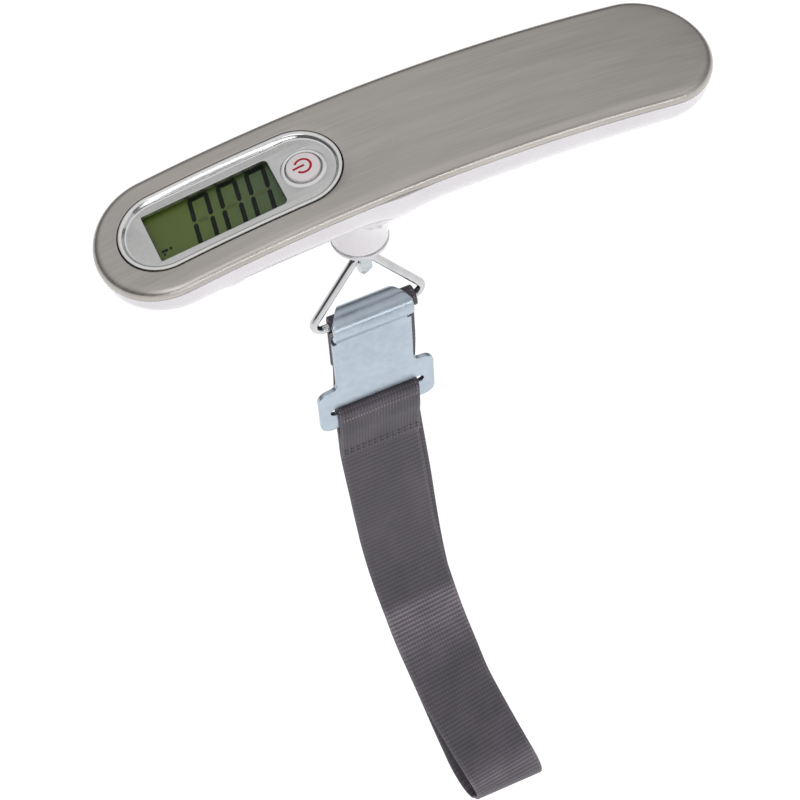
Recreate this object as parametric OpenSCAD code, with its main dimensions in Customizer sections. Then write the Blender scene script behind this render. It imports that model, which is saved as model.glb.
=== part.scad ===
// Digital luggage scale: an arched handle with a display, a swivelling pull stud,
// a triangular wire ring, a hook plate and a loop of webbing.
// Millimetres, +Z up. The origin is the crown of the steel cover, where the palm rests.
// +X runs along the handle, away from the display. The display reads upright towards +Y.

/* [Handle] */
// Length of the handle along its arched top
handle_length = 170; // [166:1:176]
// Width of the handle
handle_width = 36.6; // [36:0.2:38]
// Radius of the arch, seen from the side
arch_radius = 405; // [390:5:440]
// Straight depth of the handle's sides
side_depth = 6; // [5.5:0.1:6.5]
// Depth of the rounded belly below the sides, at the middle
belly_depth = 12.5; // [12:0.1:13]
// Share of the belly depth that is lost at the two ends
belly_taper = 0.35; // [0.2:0.01:0.4]
// Thickness of the steel cover's sheet
cover_sheet = 0.6; // [0.5:0.05:0.7]
// Depth of the cover's turned-down edge
cover_skirt = 3; // [2.8:0.1:3.2]
// Radius of the cover's rounded edge
cover_round = 2.6; // [2.2:0.1:2.8]
// Wall of the plastic shells
shell_wall = 2; // [1.8:0.1:2.2]

/* [Display] */
// Place of the display group along the handle
display_at = -49; // [-50:0.5:-48]
// Length of the window in the cover
window_length = 60; // [59:0.5:61]
// Width of the window in the cover
window_width = 24; // [23.5:0.1:24.5]
// Visible length of the liquid crystal
lcd_view_length = 34.2; // [33:0.1:35]
// Visible width of the liquid crystal
lcd_view_width = 15.2; // [14.5:0.1:15.5]
// Radius of the power button's cap
button_radius = 4.4; // [4.2:0.1:4.5]
// Travel of the power button
button_travel = 0.3; // [0.2:0.05:0.3]

/* [Pull gear] */
// Distance of the neck from the handle's middle, towards the display
neck_offset = 15.5; // [15:0.5:16]
// Radius of the neck's lower end
neck_radius = 7.6; // [7.4:0.1:7.8]
// Height of the neck's chrome ring below the origin
neck_bottom = -37.2; // [-38:0.1:-37]
// Radius of the pull stud's shank
stud_radius = 2.5; // [2.5:0.05:2.55]
// Radial clearance of the stud in its bushing
stud_clearance = 0.05; // [0.03:0.01:0.08]
// Radius of the ring's wire
wire_radius = 1.2; // [1.1:0.05:1.25]
// Height of the ring's bottom bar
bar_height = -69.5; // [-70:0.5:-69]
// Width of the webbing
webbing_width = 25; // [24:0.5:25.5]
// Thickness of the webbing
webbing_thickness = 1.3; // [1.2:0.05:1.35]
// Thickness of the hook plate
plate_thickness = 1.5; // [1.4:0.05:1.6]
// Width of the hook plate above its ears
plate_width = 23.5; // [23:0.5:24]
// Width across the hook plate's ears
ear_width = 35.5; // [35:0.5:36]

/* [Hidden] */
$fn = 64;

steel = "silver";
zinc = [0.71, 0.77, 0.82];
chrome = [0.85, 0.86, 0.88];
white_plastic = [0.93, 0.91, 0.93];
grey_plastic = [0.75, 0.75, 0.75];
webbing_colour = [0.29, 0.27, 0.31];

half_width = handle_width / 2;
straight_half = handle_length / 2 - half_width;
window_middle = 1;
lcd_middle = -3.5;
button_at = 20.9;
battery_at = -6;

bezel_floor = -1.6;
bezel_under = -2.8;
board_top = -7.3;
board_thickness = 1;
cell_radius = 10;
cell_top = -9;
cell_height = 3.2;
door_radius = 11.4;
land_top = -12.4;
land_bottom = -14.3;

neck_x = -neck_offset;
beam_top = -6.2;
beam_height = 8;
beam_width = 12;
beam_start = neck_x - 6.5;
beam_end = 34;
beam_screws = [23, 31];
bushing_radius = 3.5;

// Housing screws as [place along the handle, y].
screw_spots = [[-80, 0], [6, 12.2], [6, -12.2], [76, 0]];
screw_seat = -8.5;

// Board screws, from the middle of the display group.
board_spots = [[22, 10], [22, -10]];
bezel_lip = 0.8;

// The ring is an isosceles triangle of wire with rounded corners.
ring_peak = -42;
ring_half_base = 18.4;
ring_corner = 3;
ring_slope = atan(ring_half_base / (ring_peak - bar_height));
eye_height = ring_peak - ring_corner * (1 / sin(ring_slope) - 1);
stud_tip = -52;

// The hook and the webbing's upper loop wrap the ring's bar.
loop_radius = wire_radius + 0.4 + webbing_thickness / 2;
hook_inner = loop_radius + webbing_thickness / 2 + 0.15;
hook_middle = hook_inner + plate_thickness / 2;
plate_y = -1;
hanger_lean = 3.3;
slot_bottom = -112.1;
slot_top = -108.9;
plate_bottom = -119.5;
slot_wrap = plate_thickness / 2 + 0.2 + webbing_thickness / 2;

// ---- Arched casings -------------------------------------------------------

// Bends a point of the flat casing onto the arch.
function bend(p) =
    let (turn = p[0] / arch_radius * 180 / PI, reach = arch_radius + p[2])
    [reach * sin(turn), p[1], reach * cos(turn) - arch_radius];

// Depth below the sides, reduced towards the handle's ends.
function tapered(z, along) =
    z > -side_depth ? z
    : -side_depth + (z + side_depth) * (1 - belly_taper * pow(2 * along / handle_length, 2));

// Stations around one half of the casing's outline, as [centre, angle].
stations = concat(
    [for (turn = [0:9:81]) [straight_half, turn]],
    [for (step = [0:12]) [straight_half * (1 - step / 6), 90]],
    [for (turn = [99:9:180]) [-straight_half, turn]]);
half_count = len(stations);
ring_count = 2 * half_count - 2;

// Point number i of the outline that lies inset from the edge, at height z.
function outline_point(i, inset, z) =
    let (
        station = stations[i < half_count ? i : ring_count - i],
        side = i < half_count ? 1 : -1,
        reach = half_width - inset,
        along = station[0] + reach * cos(station[1]))
    bend([along, side * reach * sin(station[1]), tapered(z, along)]);

// A closed solid through the rings of a profile, given as [inset, z] pairs from
// the middle of its top to the middle of its underside.
module casing(profile) {
    rings = len(profile);
    points = [for (ring = profile) for (i = [0:ring_count - 1])
        outline_point(i, ring[0], ring[1])];
    walls = [for (r = [0:rings - 2]) for (i = [0:ring_count - 1])
        let (a = r * ring_count + i, b = r * ring_count + (i + 1) % ring_count)
        each [[a, b + ring_count, b], [a, a + ring_count, b + ring_count]]];
    under = (rings - 1) * ring_count;
    caps = [for (i = [0:half_count - 2])
        let (j = (ring_count - i) % ring_count, k = ring_count - i - 1)
        each concat(
            i == 0 ? [] : [[i, k, j], [under + i, under + j, under + k]],
            i == half_count - 2 ? [] : [[i, i + 1, k], [under + i, under + k, under + i + 1]])];
    polyhedron(points, concat(walls, caps), convexity = 6);
}

// Rounded edge from the flat top to the side, as profile pairs.
function edge_pairs(inset, top, radius) =
    [for (turn = [90:-18:0]) [inset + radius * (1 - cos(turn)), top - radius * (1 - sin(turn))]];

// Solid that follows the arch: a YZ outline, with its height measured from the
// arch's top surface, swept about the arch's own axis.
module arch_sweep() {
    reach = 2 * asin((handle_length / 2 + 10) / arch_radius);
    translate([0, 0, -arch_radius])
    rotate([90, 0, 0])
    rotate(90 - reach / 2)
    rotate_extrude(angle = reach, $fn = 180)
    rotate(-90)
    translate([0, arch_radius])
    children();
}

// Cross-section of the lower shell: straight sides over an elliptical belly.
module belly_section(inset, top) {
    reach = half_width - inset;
    depth = belly_depth - inset;
    side = [for (turn = [0:12:84]) [reach * cos(turn), -side_depth - depth * sin(turn)]];
    polygon(concat(
        [[-reach, top], [reach, top]],
        side,
        [for (i = [len(side) - 1:-1:0]) [-side[i][0], side[i][1]]]));
}

// Side view of the lower shell: the belly grows shallow and rounds off at the ends.
module belly_side(inset, top) {
    end = handle_length / 2 - inset;
    round = 16;
    steps = 24;
    under = [for (i = [0:steps])
        let (
            along = end * sin(90 * (2 * i / steps - 1)),
            beyond = max(0, abs(along) - (end - round)) / round,
            depth = (belly_depth - inset) * sqrt(1 - min(1, beyond * beyond)) + 0.01,
            low = bend([along, 0, tapered(-side_depth - depth, along)]))
        [low[0], low[2]]];
    rotate([90, 0, 0])
    linear_extrude(handle_width + 20, center = true)
    polygon(concat(under, [[end + 5, under[steps][1] + side_depth - 1], [end + 5, top], [-end - 5, top],
        [-end - 5, under[0][1] + side_depth - 1]]));
}

// Block of the lower shell's outer shape, or of its hollow when inset by the wall.
module belly_block(inset, top) {
    intersection() {
        arch_sweep() belly_section(inset, top);
        plan_block(inset);
        belly_side(inset, 10);
    }
}

// Upright block with the handle's outline in plan.
module plan_block(inset) {
    stadium(2 * bend([handle_length / 2 - inset, 0, -cover_skirt])[0], 2 * (half_width - inset), -60, 20);
}

// Places its children on the arch's top surface, along the local upright.
module on_arch(along, y = 0) {
    translate(bend([along, y, 0]))
    rotate([0, along / arch_radius * 180 / PI, 0])
    children();
}

module on_display() {
    on_arch(display_at) children();
}

module stadium(length, width, bottom, top) {
    translate([0, 0, bottom])
    linear_extrude(top - bottom)
    union() {
        square([length - width, width], center = true);
        for (side = [-1, 1])
            translate([side * (length - width) / 2, 0])
            circle(d = width);
    }
}

module plate_box(length, width, bottom, top) {
    translate([-length / 2, -width / 2, bottom])
    cube([length, width, top - bottom]);
}

module disc(radius, bottom, top) {
    translate([0, 0, bottom])
    cylinder(r = radius, h = top - bottom);
}

// ---- Handle ---------------------------------------------------------------

module top_cover() {
    outer = concat(edge_pairs(0, 0, cover_round), [[0, -cover_skirt]]);
    inner = concat([[cover_sheet, -cover_skirt]],
        [for (i = [5:-1:0]) edge_pairs(cover_sheet, -cover_sheet, cover_round - cover_sheet)[i]]);
    color(steel)
    difference() {
        casing(concat(outer, inner));
        on_display()
            translate([window_middle, 0, 0])
            stadium(window_length, window_width, -5, 5);
    }
}

module upper_shell() {
    gap = cover_sheet + 0.1;
    step = 1.2;
    bottom = -cover_skirt;
    color(grey_plastic)
    difference() {
        union() {
            difference() {
                union() {
                    intersection() {
                        arch_sweep() slab_section(half_width - gap - 0.15, bottom, -gap - step);
                        plan_block(gap + 0.15);
                    }
                    intersection() {
                        arch_sweep() slab_section(half_width - 2.1, bottom, -gap);
                        plan_block(2.1);
                    }
                }
                intersection() {
                    arch_sweep() slab_section(half_width - gap - shell_wall, bottom - 5, -gap - 1.5);
                    plan_block(gap + shell_wall);
                }
            }
            for (spot = screw_spots)
                on_arch(spot[0], spot[1])
                disc(2.7, -6.9, -1.4);
        }
        on_display()
            translate([window_middle, 0, 0])
            union() {
                stadium(window_length + 0.2, window_width + 0.2, -5, 5);
                stadium(window_length + 2 * bezel_lip + 0.2, window_width + 2 * bezel_lip + 0.2,
                    -8, bezel_under + 0.05);
            }
        for (spot = screw_spots)
            on_arch(spot[0], spot[1])
            disc(1.12, -7, -1.8);
    }
}

module slab_section(reach, bottom, top) {
    translate([-reach, bottom])
        square([2 * reach, top - bottom]);
}

// The neck: a turned flare, trimmed to a tighter flare towards the front and the rear.
module neck_body() {
    keel = -side_depth - belly_depth;
    flare = 9;
    side_flare = 4.5;
    translate([neck_x, 0, 0])
    intersection() {
        rotate_extrude()
            neck_outline(flare, keel - flare + 0.2);
        for (side = [0, 180])
            rotate(side)
            rotate([90, 0, 90])
            linear_extrude(60, center = true)
            neck_outline(side_flare, keel - side_flare + 2.9);
    }
}

// Half outline of the neck, with a flare that starts at a given height.
module neck_outline(flare, foot) {
    neck_end = neck_bottom + 2.1;
    polygon(concat(
        [[0, neck_end], [neck_radius, neck_end]],
        [for (turn = [0:10:90]) [neck_radius + flare * (1 - cos(turn)), foot + flare * sin(turn)]],
        [[neck_radius + flare, -13.5], [0, -13.5]]));
}

module lower_shell() {
    top = -cover_skirt - 0.1;
    color(white_plastic)
    difference() {
        union() {
            difference() {
                union() {
                    belly_block(0, top);
                    neck_body();
                }
                belly_block(shell_wall, top + 1);
            }
            // Screw posts, the load cell's pad and the land of the battery door.
            intersection() {
                belly_block(0.7, top - 1);
                union() {
                    for (spot = screw_spots)
                        on_arch(spot[0], spot[1])
                        disc(2.9, -19, -7);
                    translate([(beam_screws[0] + beam_screws[1]) / 2, 0, 0])
                        plate_box(16, 13, -20, beam_top - beam_height - 1.5);
                    on_display()
                        translate([battery_at, 0, 0])
                        disc(door_radius + 3, land_bottom, land_top);
                }
            }
        }
        for (spot = screw_spots)
            on_arch(spot[0], spot[1]) {
                disc(1.2, -25, -6);
                disc(2.3, -25, screw_seat);
            }
        translate([neck_x, 0, 0])
            disc(3.9, -60, -10);
        on_display()
            translate([battery_at, 0, 0]) {
                disc(door_radius + 0.3, -30, land_top + 0.1);
                disc(door_radius + 2.5, -30, land_bottom);
                for (turn = [45, 225])
                    rotate(turn)
                    translate([0, -3, -30])
                    cube([door_radius + 1.9, 6, 30 + land_top + 0.1]);
            }
    }
}

module display_bezel() {
    rim = 1.5;
    color(grey_plastic)
    on_display()
    difference() {
        translate([window_middle, 0, 0])
        union() {
            intersection() {
                stadium(window_length - 0.6, window_width - 0.6, bezel_under, 1);
                translate([-window_middle, 0, 0.3 - arch_radius])
                    rotate([90, 0, 0])
                    cylinder(r = arch_radius, h = window_width + 10, center = true, $fn = 360);
            }
            stadium(window_length + 2 * bezel_lip, window_width + 2 * bezel_lip,
                bezel_under - 0.8, bezel_under);
            for (spot = board_spots)
                translate([spot[0] - window_middle, spot[1], 0])
                disc(2, board_top, bezel_under - 0.4);
        }
        for (spot = board_spots)
            translate([spot[0], spot[1], 0])
            disc(1.02, board_top - 1, -3.8);
        translate([window_middle, 0, 0])
            stadium(window_length - 0.6 - 2 * rim, window_width - 0.6 - 2 * rim, bezel_floor, 2);
        translate([lcd_middle, 0, 0])
            plate_box(lcd_view_length, lcd_view_width, -5, 2);
        translate([lcd_middle, 0, 0])
            plate_box(lcd_view_length + 4.4, lcd_view_width + 4.4, -5, bezel_under);
        translate([button_at, 0, 0]) {
            disc(button_radius + 0.35, -5, 2);
            disc(button_radius + 1.5, -5, bezel_under);
            translate([0, 0, bezel_floor - 0.5])
                cylinder(r1 = button_radius + 0.35, r2 = button_radius + 1.9, h = 0.55);
        }
    }
}

module display_lens() {
    color([0.8, 0.85, 0.8, 0.3])
    on_display()
    translate([lcd_middle, 0, 0])
    plate_box(lcd_view_length + 4, lcd_view_width + 4, bezel_under - 0.75, bezel_under - 0.05);
}

module lcd_front_glass() {
    color([0.45, 0.5, 0.3])
    on_display()
    translate([lcd_middle, 0.8, 0])
    plate_box(lcd_view_length + 3.6, lcd_view_width + 3.6, -4.55, -3.65);
}

module lcd_rear_glass() {
    color([0.4, 0.45, 0.25])
    on_display()
    translate([lcd_middle, -0.2, 0])
    plate_box(lcd_view_length + 3.6, lcd_view_width + 5.6, -5.5, -4.6);
}

module lcd_reflector() {
    color([0.6, 0.62, 0.55])
    on_display()
    translate([lcd_middle, 0.9, 0])
    plate_box(lcd_view_length + 3, lcd_view_width + 2.2, -5.75, -5.55);
}

module lcd_holder() {
    length = lcd_view_length + 6.6;
    width = lcd_view_width + 8.6;
    color([0.2, 0.2, 0.2])
    on_display()
    translate([lcd_middle, 0, 0])
    difference() {
        plate_box(length, width, board_top, -4);
        plate_box(length - 2.6, width - 2.6, -6, -3);
        plate_box(length - 8, width - 12, -8, -3);
        // Slot of the elastomer strip.
        translate([0, -8.9, 0])
            plate_box(length - 5, 2.2, -8, -3);
    }
}

module zebra_strip() {
    color([0.95, 0.75, 0.8])
    on_display()
    translate([lcd_middle, -8.9, 0])
    plate_box(lcd_view_length + 1, 1.8, board_top, -5.5);
}

module circuit_board() {
    color([0.1, 0.4, 0.2])
    on_display()
    difference() {
        plate_box(50, 26, board_top - board_thickness, board_top);
        for (spot = board_spots)
            translate([spot[0], spot[1], 0])
            disc(1.1, -12, 0);
    }
}

module controller_chip() {
    radius = 4.2;
    height = 1.3;
    color([0.08, 0.08, 0.08])
    on_display()
    translate([14, 0, board_top - board_thickness])
    mirror([0, 0, 1])
    rotate_extrude()
    polygon(concat([[0, 0]],
        [for (turn = [0:15:75]) [radius * cos(turn), height * sin(turn)]], [[0, height]]));
}

module board_screws() {
    color(steel)
    on_display()
    for (spot = board_spots)
        translate([spot[0], spot[1], 0]) {
            disc(1.8, board_top - board_thickness - 1.1, board_top - board_thickness);
            disc(1, board_top - board_thickness, -4);
        }
}

module power_switch() {
    color([0.15, 0.15, 0.15])
    on_display()
    translate([button_at, 0, 0])
    difference() {
        plate_box(6, 6, board_top, -4.3);
        disc(1.8, -5.9, -4);
    }
}

module switch_plunger() {
    color([0.1, 0.1, 0.1])
    on_display()
    translate([button_at, 0, 0])
    disc(1.7, -5.3, -3.5);
}

module power_button() {
    dome_radius = 24;
    cap_top = -0.6;
    color(white_plastic)
    on_display()
    translate([button_at, 0, 0])
    union() {
        intersection() {
            disc(button_radius, -3.4, cap_top + 1);
            translate([0, 0, cap_top - dome_radius])
                sphere(r = dome_radius, $fn = 128);
        }
        disc(button_radius + 0.6, -3.4, -3.1);
        disc(1.5, -3.5, -3);
    }
}

module coin_cell() {
    color([0.8, 0.8, 0.82])
    on_display()
    translate([battery_at, 0, 0]) {
        disc(cell_radius, cell_top - cell_height, cell_top - 0.3);
        disc(cell_radius - 1.4, cell_top - 0.3, cell_top);
    }
}

module positive_contact() {
    color(zinc)
    on_display()
    translate([battery_at, 0, 0])
    difference() {
        translate([-cell_radius - 0.9, -3, cell_top - 2])
            cube([2.5, 6, 2.7]);
        disc(cell_radius + 0.1, -20, cell_top + 0.3);
    }
}

module negative_contact() {
    color(zinc)
    on_display()
    translate([battery_at, 0, 0]) {
        translate([-6, -2, cell_top + 0.05])
            cube([12, 4, 0.3]);
        translate([6, -2, cell_top + 0.05])
            cube([2, 4, 0.65]);
    }
}

module battery_door() {
    color(white_plastic)
    on_display()
    translate([battery_at, 0, 0])
    difference() {
        union() {
            disc(door_radius, land_bottom, land_top + 0.1);
            // Bayonet lugs that lock above the land.
            intersection() {
                disc(door_radius + 1.5, land_top + 0.4, land_top + 1);
                for (side = [0, 180])
                    rotate(side)
                    translate([10.4, -2.6, -20])
                    cube([10, 5.2, 20]);
            }
            for (side = [0, 180])
                rotate(side)
                translate([10.4, -2.6, land_top])
                cube([0.8, 5.2, 1]);
        }
        // Coin slot.
        plate_box(13, 1.8, land_bottom - 1, land_bottom + 0.8);
    }
}

module housing_screws() {
    color(steel)
    for (spot = screw_spots)
        on_arch(spot[0], spot[1]) {
            difference() {
                disc(2.1, screw_seat - 1.6, screw_seat);
                plate_box(3, 0.5, screw_seat - 2, screw_seat - 1);
                plate_box(0.5, 3, screw_seat - 2, screw_seat - 1);
            }
            disc(1.1, screw_seat, -2.4);
        }
}

// ---- Load cell --------------------------------------------------------------

module load_cell() {
    waist_x = (beam_screws[0] + neck_x) / 2;
    waist_z = beam_top - beam_height / 2;
    color([0.8, 0.81, 0.83])
    difference() {
        translate([beam_start, -beam_width / 2, beam_top - beam_height])
            cube([beam_end - beam_start + 1.5, beam_width, beam_height]);
        translate([neck_x, 0, 0])
            disc(bushing_radius, -30, 0);
        for (x = beam_screws)
            translate([x, 0, 0])
            disc(1.6, -30, 0);
        // Bending waist: two cross holes joined by a slot.
        for (side = [-4, 4])
            translate([waist_x + side, 0, waist_z])
            rotate([90, 0, 0])
            cylinder(r = 3, h = 20, center = true);
        translate([waist_x - 4, -10, waist_z - 1])
            cube([8, 20, 2]);
    }
}

module strain_gauges() {
    waist_x = (beam_screws[0] + neck_x) / 2;
    color([0.85, 0.8, 0.6])
    for (z = [beam_top, beam_top - beam_height - 0.4])
        translate([waist_x, 0, 0])
        plate_box(11, 6, z, z + 0.4);
}

module load_cell_plate() {
    color(steel)
    translate([(beam_screws[0] + beam_screws[1]) / 2, 0, 0])
    difference() {
        plate_box(16, 12, beam_top - beam_height - 1.5, beam_top - beam_height);
        for (side = [-1, 1])
            translate([side * (beam_screws[1] - beam_screws[0]) / 2, 0, 0])
            disc(1.52, -30, 0);
    }
}

module load_cell_screws() {
    color(steel)
    for (x = beam_screws)
        translate([x, 0, 0]) {
            disc(2.6, beam_top, beam_top + 1.6);
            disc(1.5, beam_top - beam_height - 1.5, beam_top);
        }
}

// Four thin leads from the gauges to the circuit board.
wire_route = [[7, 0, -5.4], [5, 3, -4.9], [1, 6.6, -5.2], [-5, 8.6, -6], [-12, 9.4, -7],
    [-18, 9, -8.4], [-22.5, 8.2, -9.6], [-25.5, 6.4, -9.9], [-28, 4.8, -9.7], [-29, 4.6, -9.3]];

function route_frame(route, i) =
    let (ahead = route[min(i + 1, len(route) - 1)] - route[max(i - 1, 0)])
    ahead / norm(ahead);

// A closed skin through rings of points that all have the same count.
module skin(rings, closed = false) {
    count = len(rings);
    sides = len(rings[0]);
    spans = closed ? count : count - 1;
    end = (count - 1) * sides;
    walls = [for (i = [0:spans - 1]) for (s = [0:sides - 1])
        let (
            a = i * sides + s,
            b = i * sides + (s + 1) % sides,
            c = (i + 1) % count * sides + s,
            d = (i + 1) % count * sides + (s + 1) % sides)
        each [[a, d, b], [a, c, d]]];
    ends = closed ? []
        : [for (s = [1:sides - 2]) each [[0, s, s + 1], [end, end + s + 1, end + s]]];
    polyhedron([for (ring = rings) each ring], concat(walls, ends), convexity = 8);
}

// Points of a round section about a centre, square to forward.
function round_section(centre, forward, across, radius, sides) =
    [for (s = [0:sides - 1])
        centre + radius * (across * cos(360 * s / sides) + cross(forward, across) * sin(360 * s / sides))];

module lead(offset) {
    skin([for (i = [0:len(wire_route) - 1])
        let (
            forward = route_frame(wire_route, i),
            level = cross([0, 0, 1], forward),
            across = level / norm(level))
        round_section(wire_route[i] + across * offset, forward, across, 0.35, 8)]);
}

module signal_wires() {
    color("red")
    for (i = [0:3])
        lead((i - 1.5) * 0.9);
}

module stud_bushing() {
    color([0.8, 0.65, 0.3])
    translate([neck_x, 0, 0])
    difference() {
        union() {
            disc(bushing_radius, beam_top - beam_height, beam_top);
            disc(bushing_radius + 1.5, beam_top, beam_top + 0.8);
        }
        disc(stud_radius + stud_clearance, -30, 0);
    }
}

module neck_ring() {
    height = 2;
    round = 0.8;
    color(chrome)
    translate([neck_x, 0, neck_bottom])
    rotate_extrude()
    polygon(concat(
        [[4.1, 0.5], [4.6, 0]],
        [for (turn = [-90:15:0])
            [neck_radius + 0.2 - round + round * cos(turn), round + round * sin(turn)]],
        [for (turn = [0:15:90])
            [neck_radius + 0.2 - round + round * cos(turn), height - round + round * sin(turn)]],
        [[4.1, height]]));
}

// ---- Pull gear ----------------------------------------------------------------

module pull_stud() {
    tongue_top = neck_bottom - 1;
    color(steel)
    translate([neck_x, 0, 0])
    difference() {
        union() {
            disc(stud_radius, tongue_top - 2, beam_top + 2.9);
            disc(3.5, beam_top - beam_height - 2.2, beam_top - beam_height - 0.2);
            // Flat tongue with a pointed tip.
            intersection() {
                rotate_extrude()
                    polygon([[0, tongue_top], [3.6, tongue_top], [3.6, eye_height - 2.4],
                        [0.6, stud_tip], [0, stud_tip]]);
                plate_box(3, 10, stud_tip - 1, tongue_top);
            }
        }
        translate([0, 0, eye_height])
            rotate([0, 90, 0])
            cylinder(r = wire_radius + 0.65, h = 20, center = true);
    }
}

module stud_washer() {
    color(steel)
    translate([neck_x, 0, 0])
    difference() {
        disc(4.6, beam_top + 0.9, beam_top + 1.3);
        disc(stud_radius + 0.02, -30, 0);
    }
}

module stud_nut() {
    color(steel)
    translate([neck_x, 0, 0])
    difference() {
        translate([0, 0, beam_top + 1.3])
            cylinder(r = 4.6, h = 1.5, $fn = 6);
        disc(stud_radius + 0.02, -30, 0);
    }
}

// Middle line of the ring: a closed triangle with rounded corners.
function ring_corner_points(centre, start, sweep, facets = 8) =
    [for (i = [1:facets])
        let (turn = start + sweep * (i - 0.5) / facets, reach = ring_corner / cos(sweep / facets / 2))
        [centre[0] + reach * cos(turn), 0, centre[1] + reach * sin(turn)]];

function ring_line() =
    let (
        tangent = ring_corner / tan((90 - ring_slope) / 2),
        corner = [ring_half_base - tangent, bar_height + ring_corner],
        peak = [0, ring_peak - ring_corner / sin(ring_slope)],
        base_sweep = 90 + ring_slope)
    concat(
        ring_corner_points(corner, -90, base_sweep),
        ring_corner_points(peak, ring_slope, 180 - 2 * ring_slope),
        ring_corner_points([-corner[0], corner[1]], 180 - ring_slope, base_sweep));

module triangle_ring() {
    line = ring_line();
    count = len(line);
    color(chrome)
    translate([neck_x, 0, 0])
    skin([for (i = [0:count - 1])
        let (
            back = line[i] - line[(i + count - 1) % count],
            ahead = line[(i + 1) % count] - line[i],
            both = back / norm(back) + ahead / norm(ahead))
        round_section(line[i], both / norm(both), [0, 1, 0], wire_radius, 20)], closed = true);
}

// Leans the hook and webbing about the ring's bar, so that their weight hangs under it.
module lean() {
    translate([0, 0, bar_height])
    rotate([hanger_lean, 0, 0])
    translate([0, 0, -bar_height])
    children();
}

// The hook's roll about the ring's bar runs from hook_end to hook_start, in degrees.
hook_start = 214;
hook_end = -10;

// Middle line of the jog that leads from the plate to the roll.
function jog_line() =
    let (join = [hook_middle * cos(hook_start), bar_height + hook_middle * sin(hook_start)])
    [[plate_y, bar_height - 9], [plate_y, bar_height - 6.6], [plate_y - 0.5, bar_height - 5.4],
        join - [sin(hook_start), -cos(hook_start)], join];

// A band of constant thickness along a line of points in the YZ plane.
function band(line, thickness) =
    let (
        last = len(line) - 1,
        offsets = [for (i = [0:last])
            let (ahead = line[min(i + 1, last)] - line[max(i - 1, 0)], run = norm(ahead))
            [-ahead[1], ahead[0]] / run * thickness / 2])
    concat([for (i = [0:last]) line[i] + offsets[i]], [for (i = [last:-1:0]) line[i] - offsets[i]]);

// Extrudes a YZ outline along X.
module along_x(width) {
    translate([neck_x - width / 2, 0, 0])
    rotate([90, 0, 90])
    linear_extrude(width)
    children();
}

module ears_outline() {
    radius = 3.4;
    ear_top = slot_top + 9;
    for (side = [-1, 1])
        for (z = [plate_bottom + radius, ear_top - radius])
            translate([side * (ear_width / 2 - radius), z])
            circle(r = radius);
    translate([-ear_width / 2 + radius, plate_bottom])
        square([ear_width - 2 * radius, ear_top - plate_bottom]);
    translate([-ear_width / 2, plate_bottom + radius])
        square([ear_width, ear_top - plate_bottom - 2 * radius]);
    translate([-plate_width / 2, plate_bottom + 3])
        square([plate_width, bar_height - 8 - plate_bottom - 3]);
}

module hook_plate() {
    slot_length = 28.8;
    slot_height = slot_top - slot_bottom;
    color(zinc)
    lean()
    union() {
        translate([neck_x, plate_y + plate_thickness / 2, 0])
        rotate([90, 0, 0])
        linear_extrude(plate_thickness)
        difference() {
            ears_outline();
            translate([-slot_length / 2 + 1, slot_bottom])
                square([slot_length - 2, slot_height]);
            for (side = [-1, 1])
                translate([side * (slot_length / 2 - slot_height / 2), slot_bottom + slot_height / 2])
                circle(d = slot_height);
        }
        // The hook narrows towards its free end, to pass between the ring's arms.
        intersection() {
            union() {
                along_x(plate_width)
                    polygon(band(jog_line(), plate_thickness));
                translate([neck_x - plate_width / 2, 0, bar_height])
                    rotate([90, 0, 90])
                    rotate(hook_end)
                    rotate_extrude(angle = hook_start - hook_end)
                    translate([hook_inner, 0])
                    square([plate_thickness, plate_width]);
            }
            translate([neck_x, 0, 0])
                linear_extrude(200, center = true)
                polygon([[-plate_width / 2, -10], [plate_width / 2, -10], [plate_width / 2, -2.6],
                    [6.5, 5], [-6.5, 5], [-plate_width / 2, -2.6]]);
        }
    }
}

// ---- Webbing --------------------------------------------------------------------

// Route of the webbing's middle line as [x from the neck, y, z]: from the end that is
// sewn behind the ring, over the bar, down the rear, around the fold and up the front.
loop_start = [[1, 2.5, -92], [1, 2.45, -88], [1, 2.4, -82], [1, 2.4, -76], [1, 2.35, -72.5]];
loop_over = [for (turn = [0:30:210])
    [1, loop_radius * cos(turn), bar_height + loop_radius * sin(turn)]];
rear_run = [[1, -0.2, -73.4], [1, 0.7, -75.4], [1, 0.85, -79], [1, 0.85, -85], [1, 0.95, -92],
    [1, 1.6, -99], [1, 2.4, -106], [1, 2.7, -113], [1.2, 2.8, -121], [1.9, 3.2, -132],
    [2.9, 3.9, -145], [3.9, 3.9, -160], [4.8, 3.7, -175], [5.5, 3.3, -190], [6, 2, -205],
    [6.4, -0.5, -220], [7.2, -4.6, -238], [8.7, -8.6, -254], [10.8, -12.8, -270],
    [13.2, -17.8, -288], [15.4, -22.4, -305]];
fold_run = [[17.2, -25.8, -318], [18.6, -28.8, -327.5], [20.2, -33.2, -333.8],
    [21.6, -38.2, -334.6], [22.2, -42.4, -330.5], [21.9, -44.1, -323.5]];
front_run = [[20.6, -43, -315.5], [18, -39.8, -304], [14.6, -33.6, -289], [10.6, -26.3, -270],
    [8.4, -20.4, -254], [6.3, -15.2, -238], [4.4, -10.4, -220], [3.1, -6.9, -205],
    [2.1, -4.6, -190], [1.4, -3.2, -175], [0.8, -2, -160], [0.3, -0.7, -147], [0, 0, -137],
    [0, 0.1, -128], [0, 0.5, -121.5], [0, 0.6, -116]];
slot_over = [for (turn = [0:30:180])
    [0, plate_y + slot_wrap * cos(turn), slot_bottom + slot_wrap * sin(turn)]];
tail_run = [[0, -2.6, -117], [0, -2.5, -121.5], [0, -1.9, -126], [0, -1.5, -131], [0, -1.4, -137]];

route = concat(loop_start, loop_over, rear_run, fold_run, front_run, slot_over, tail_run);

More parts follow.
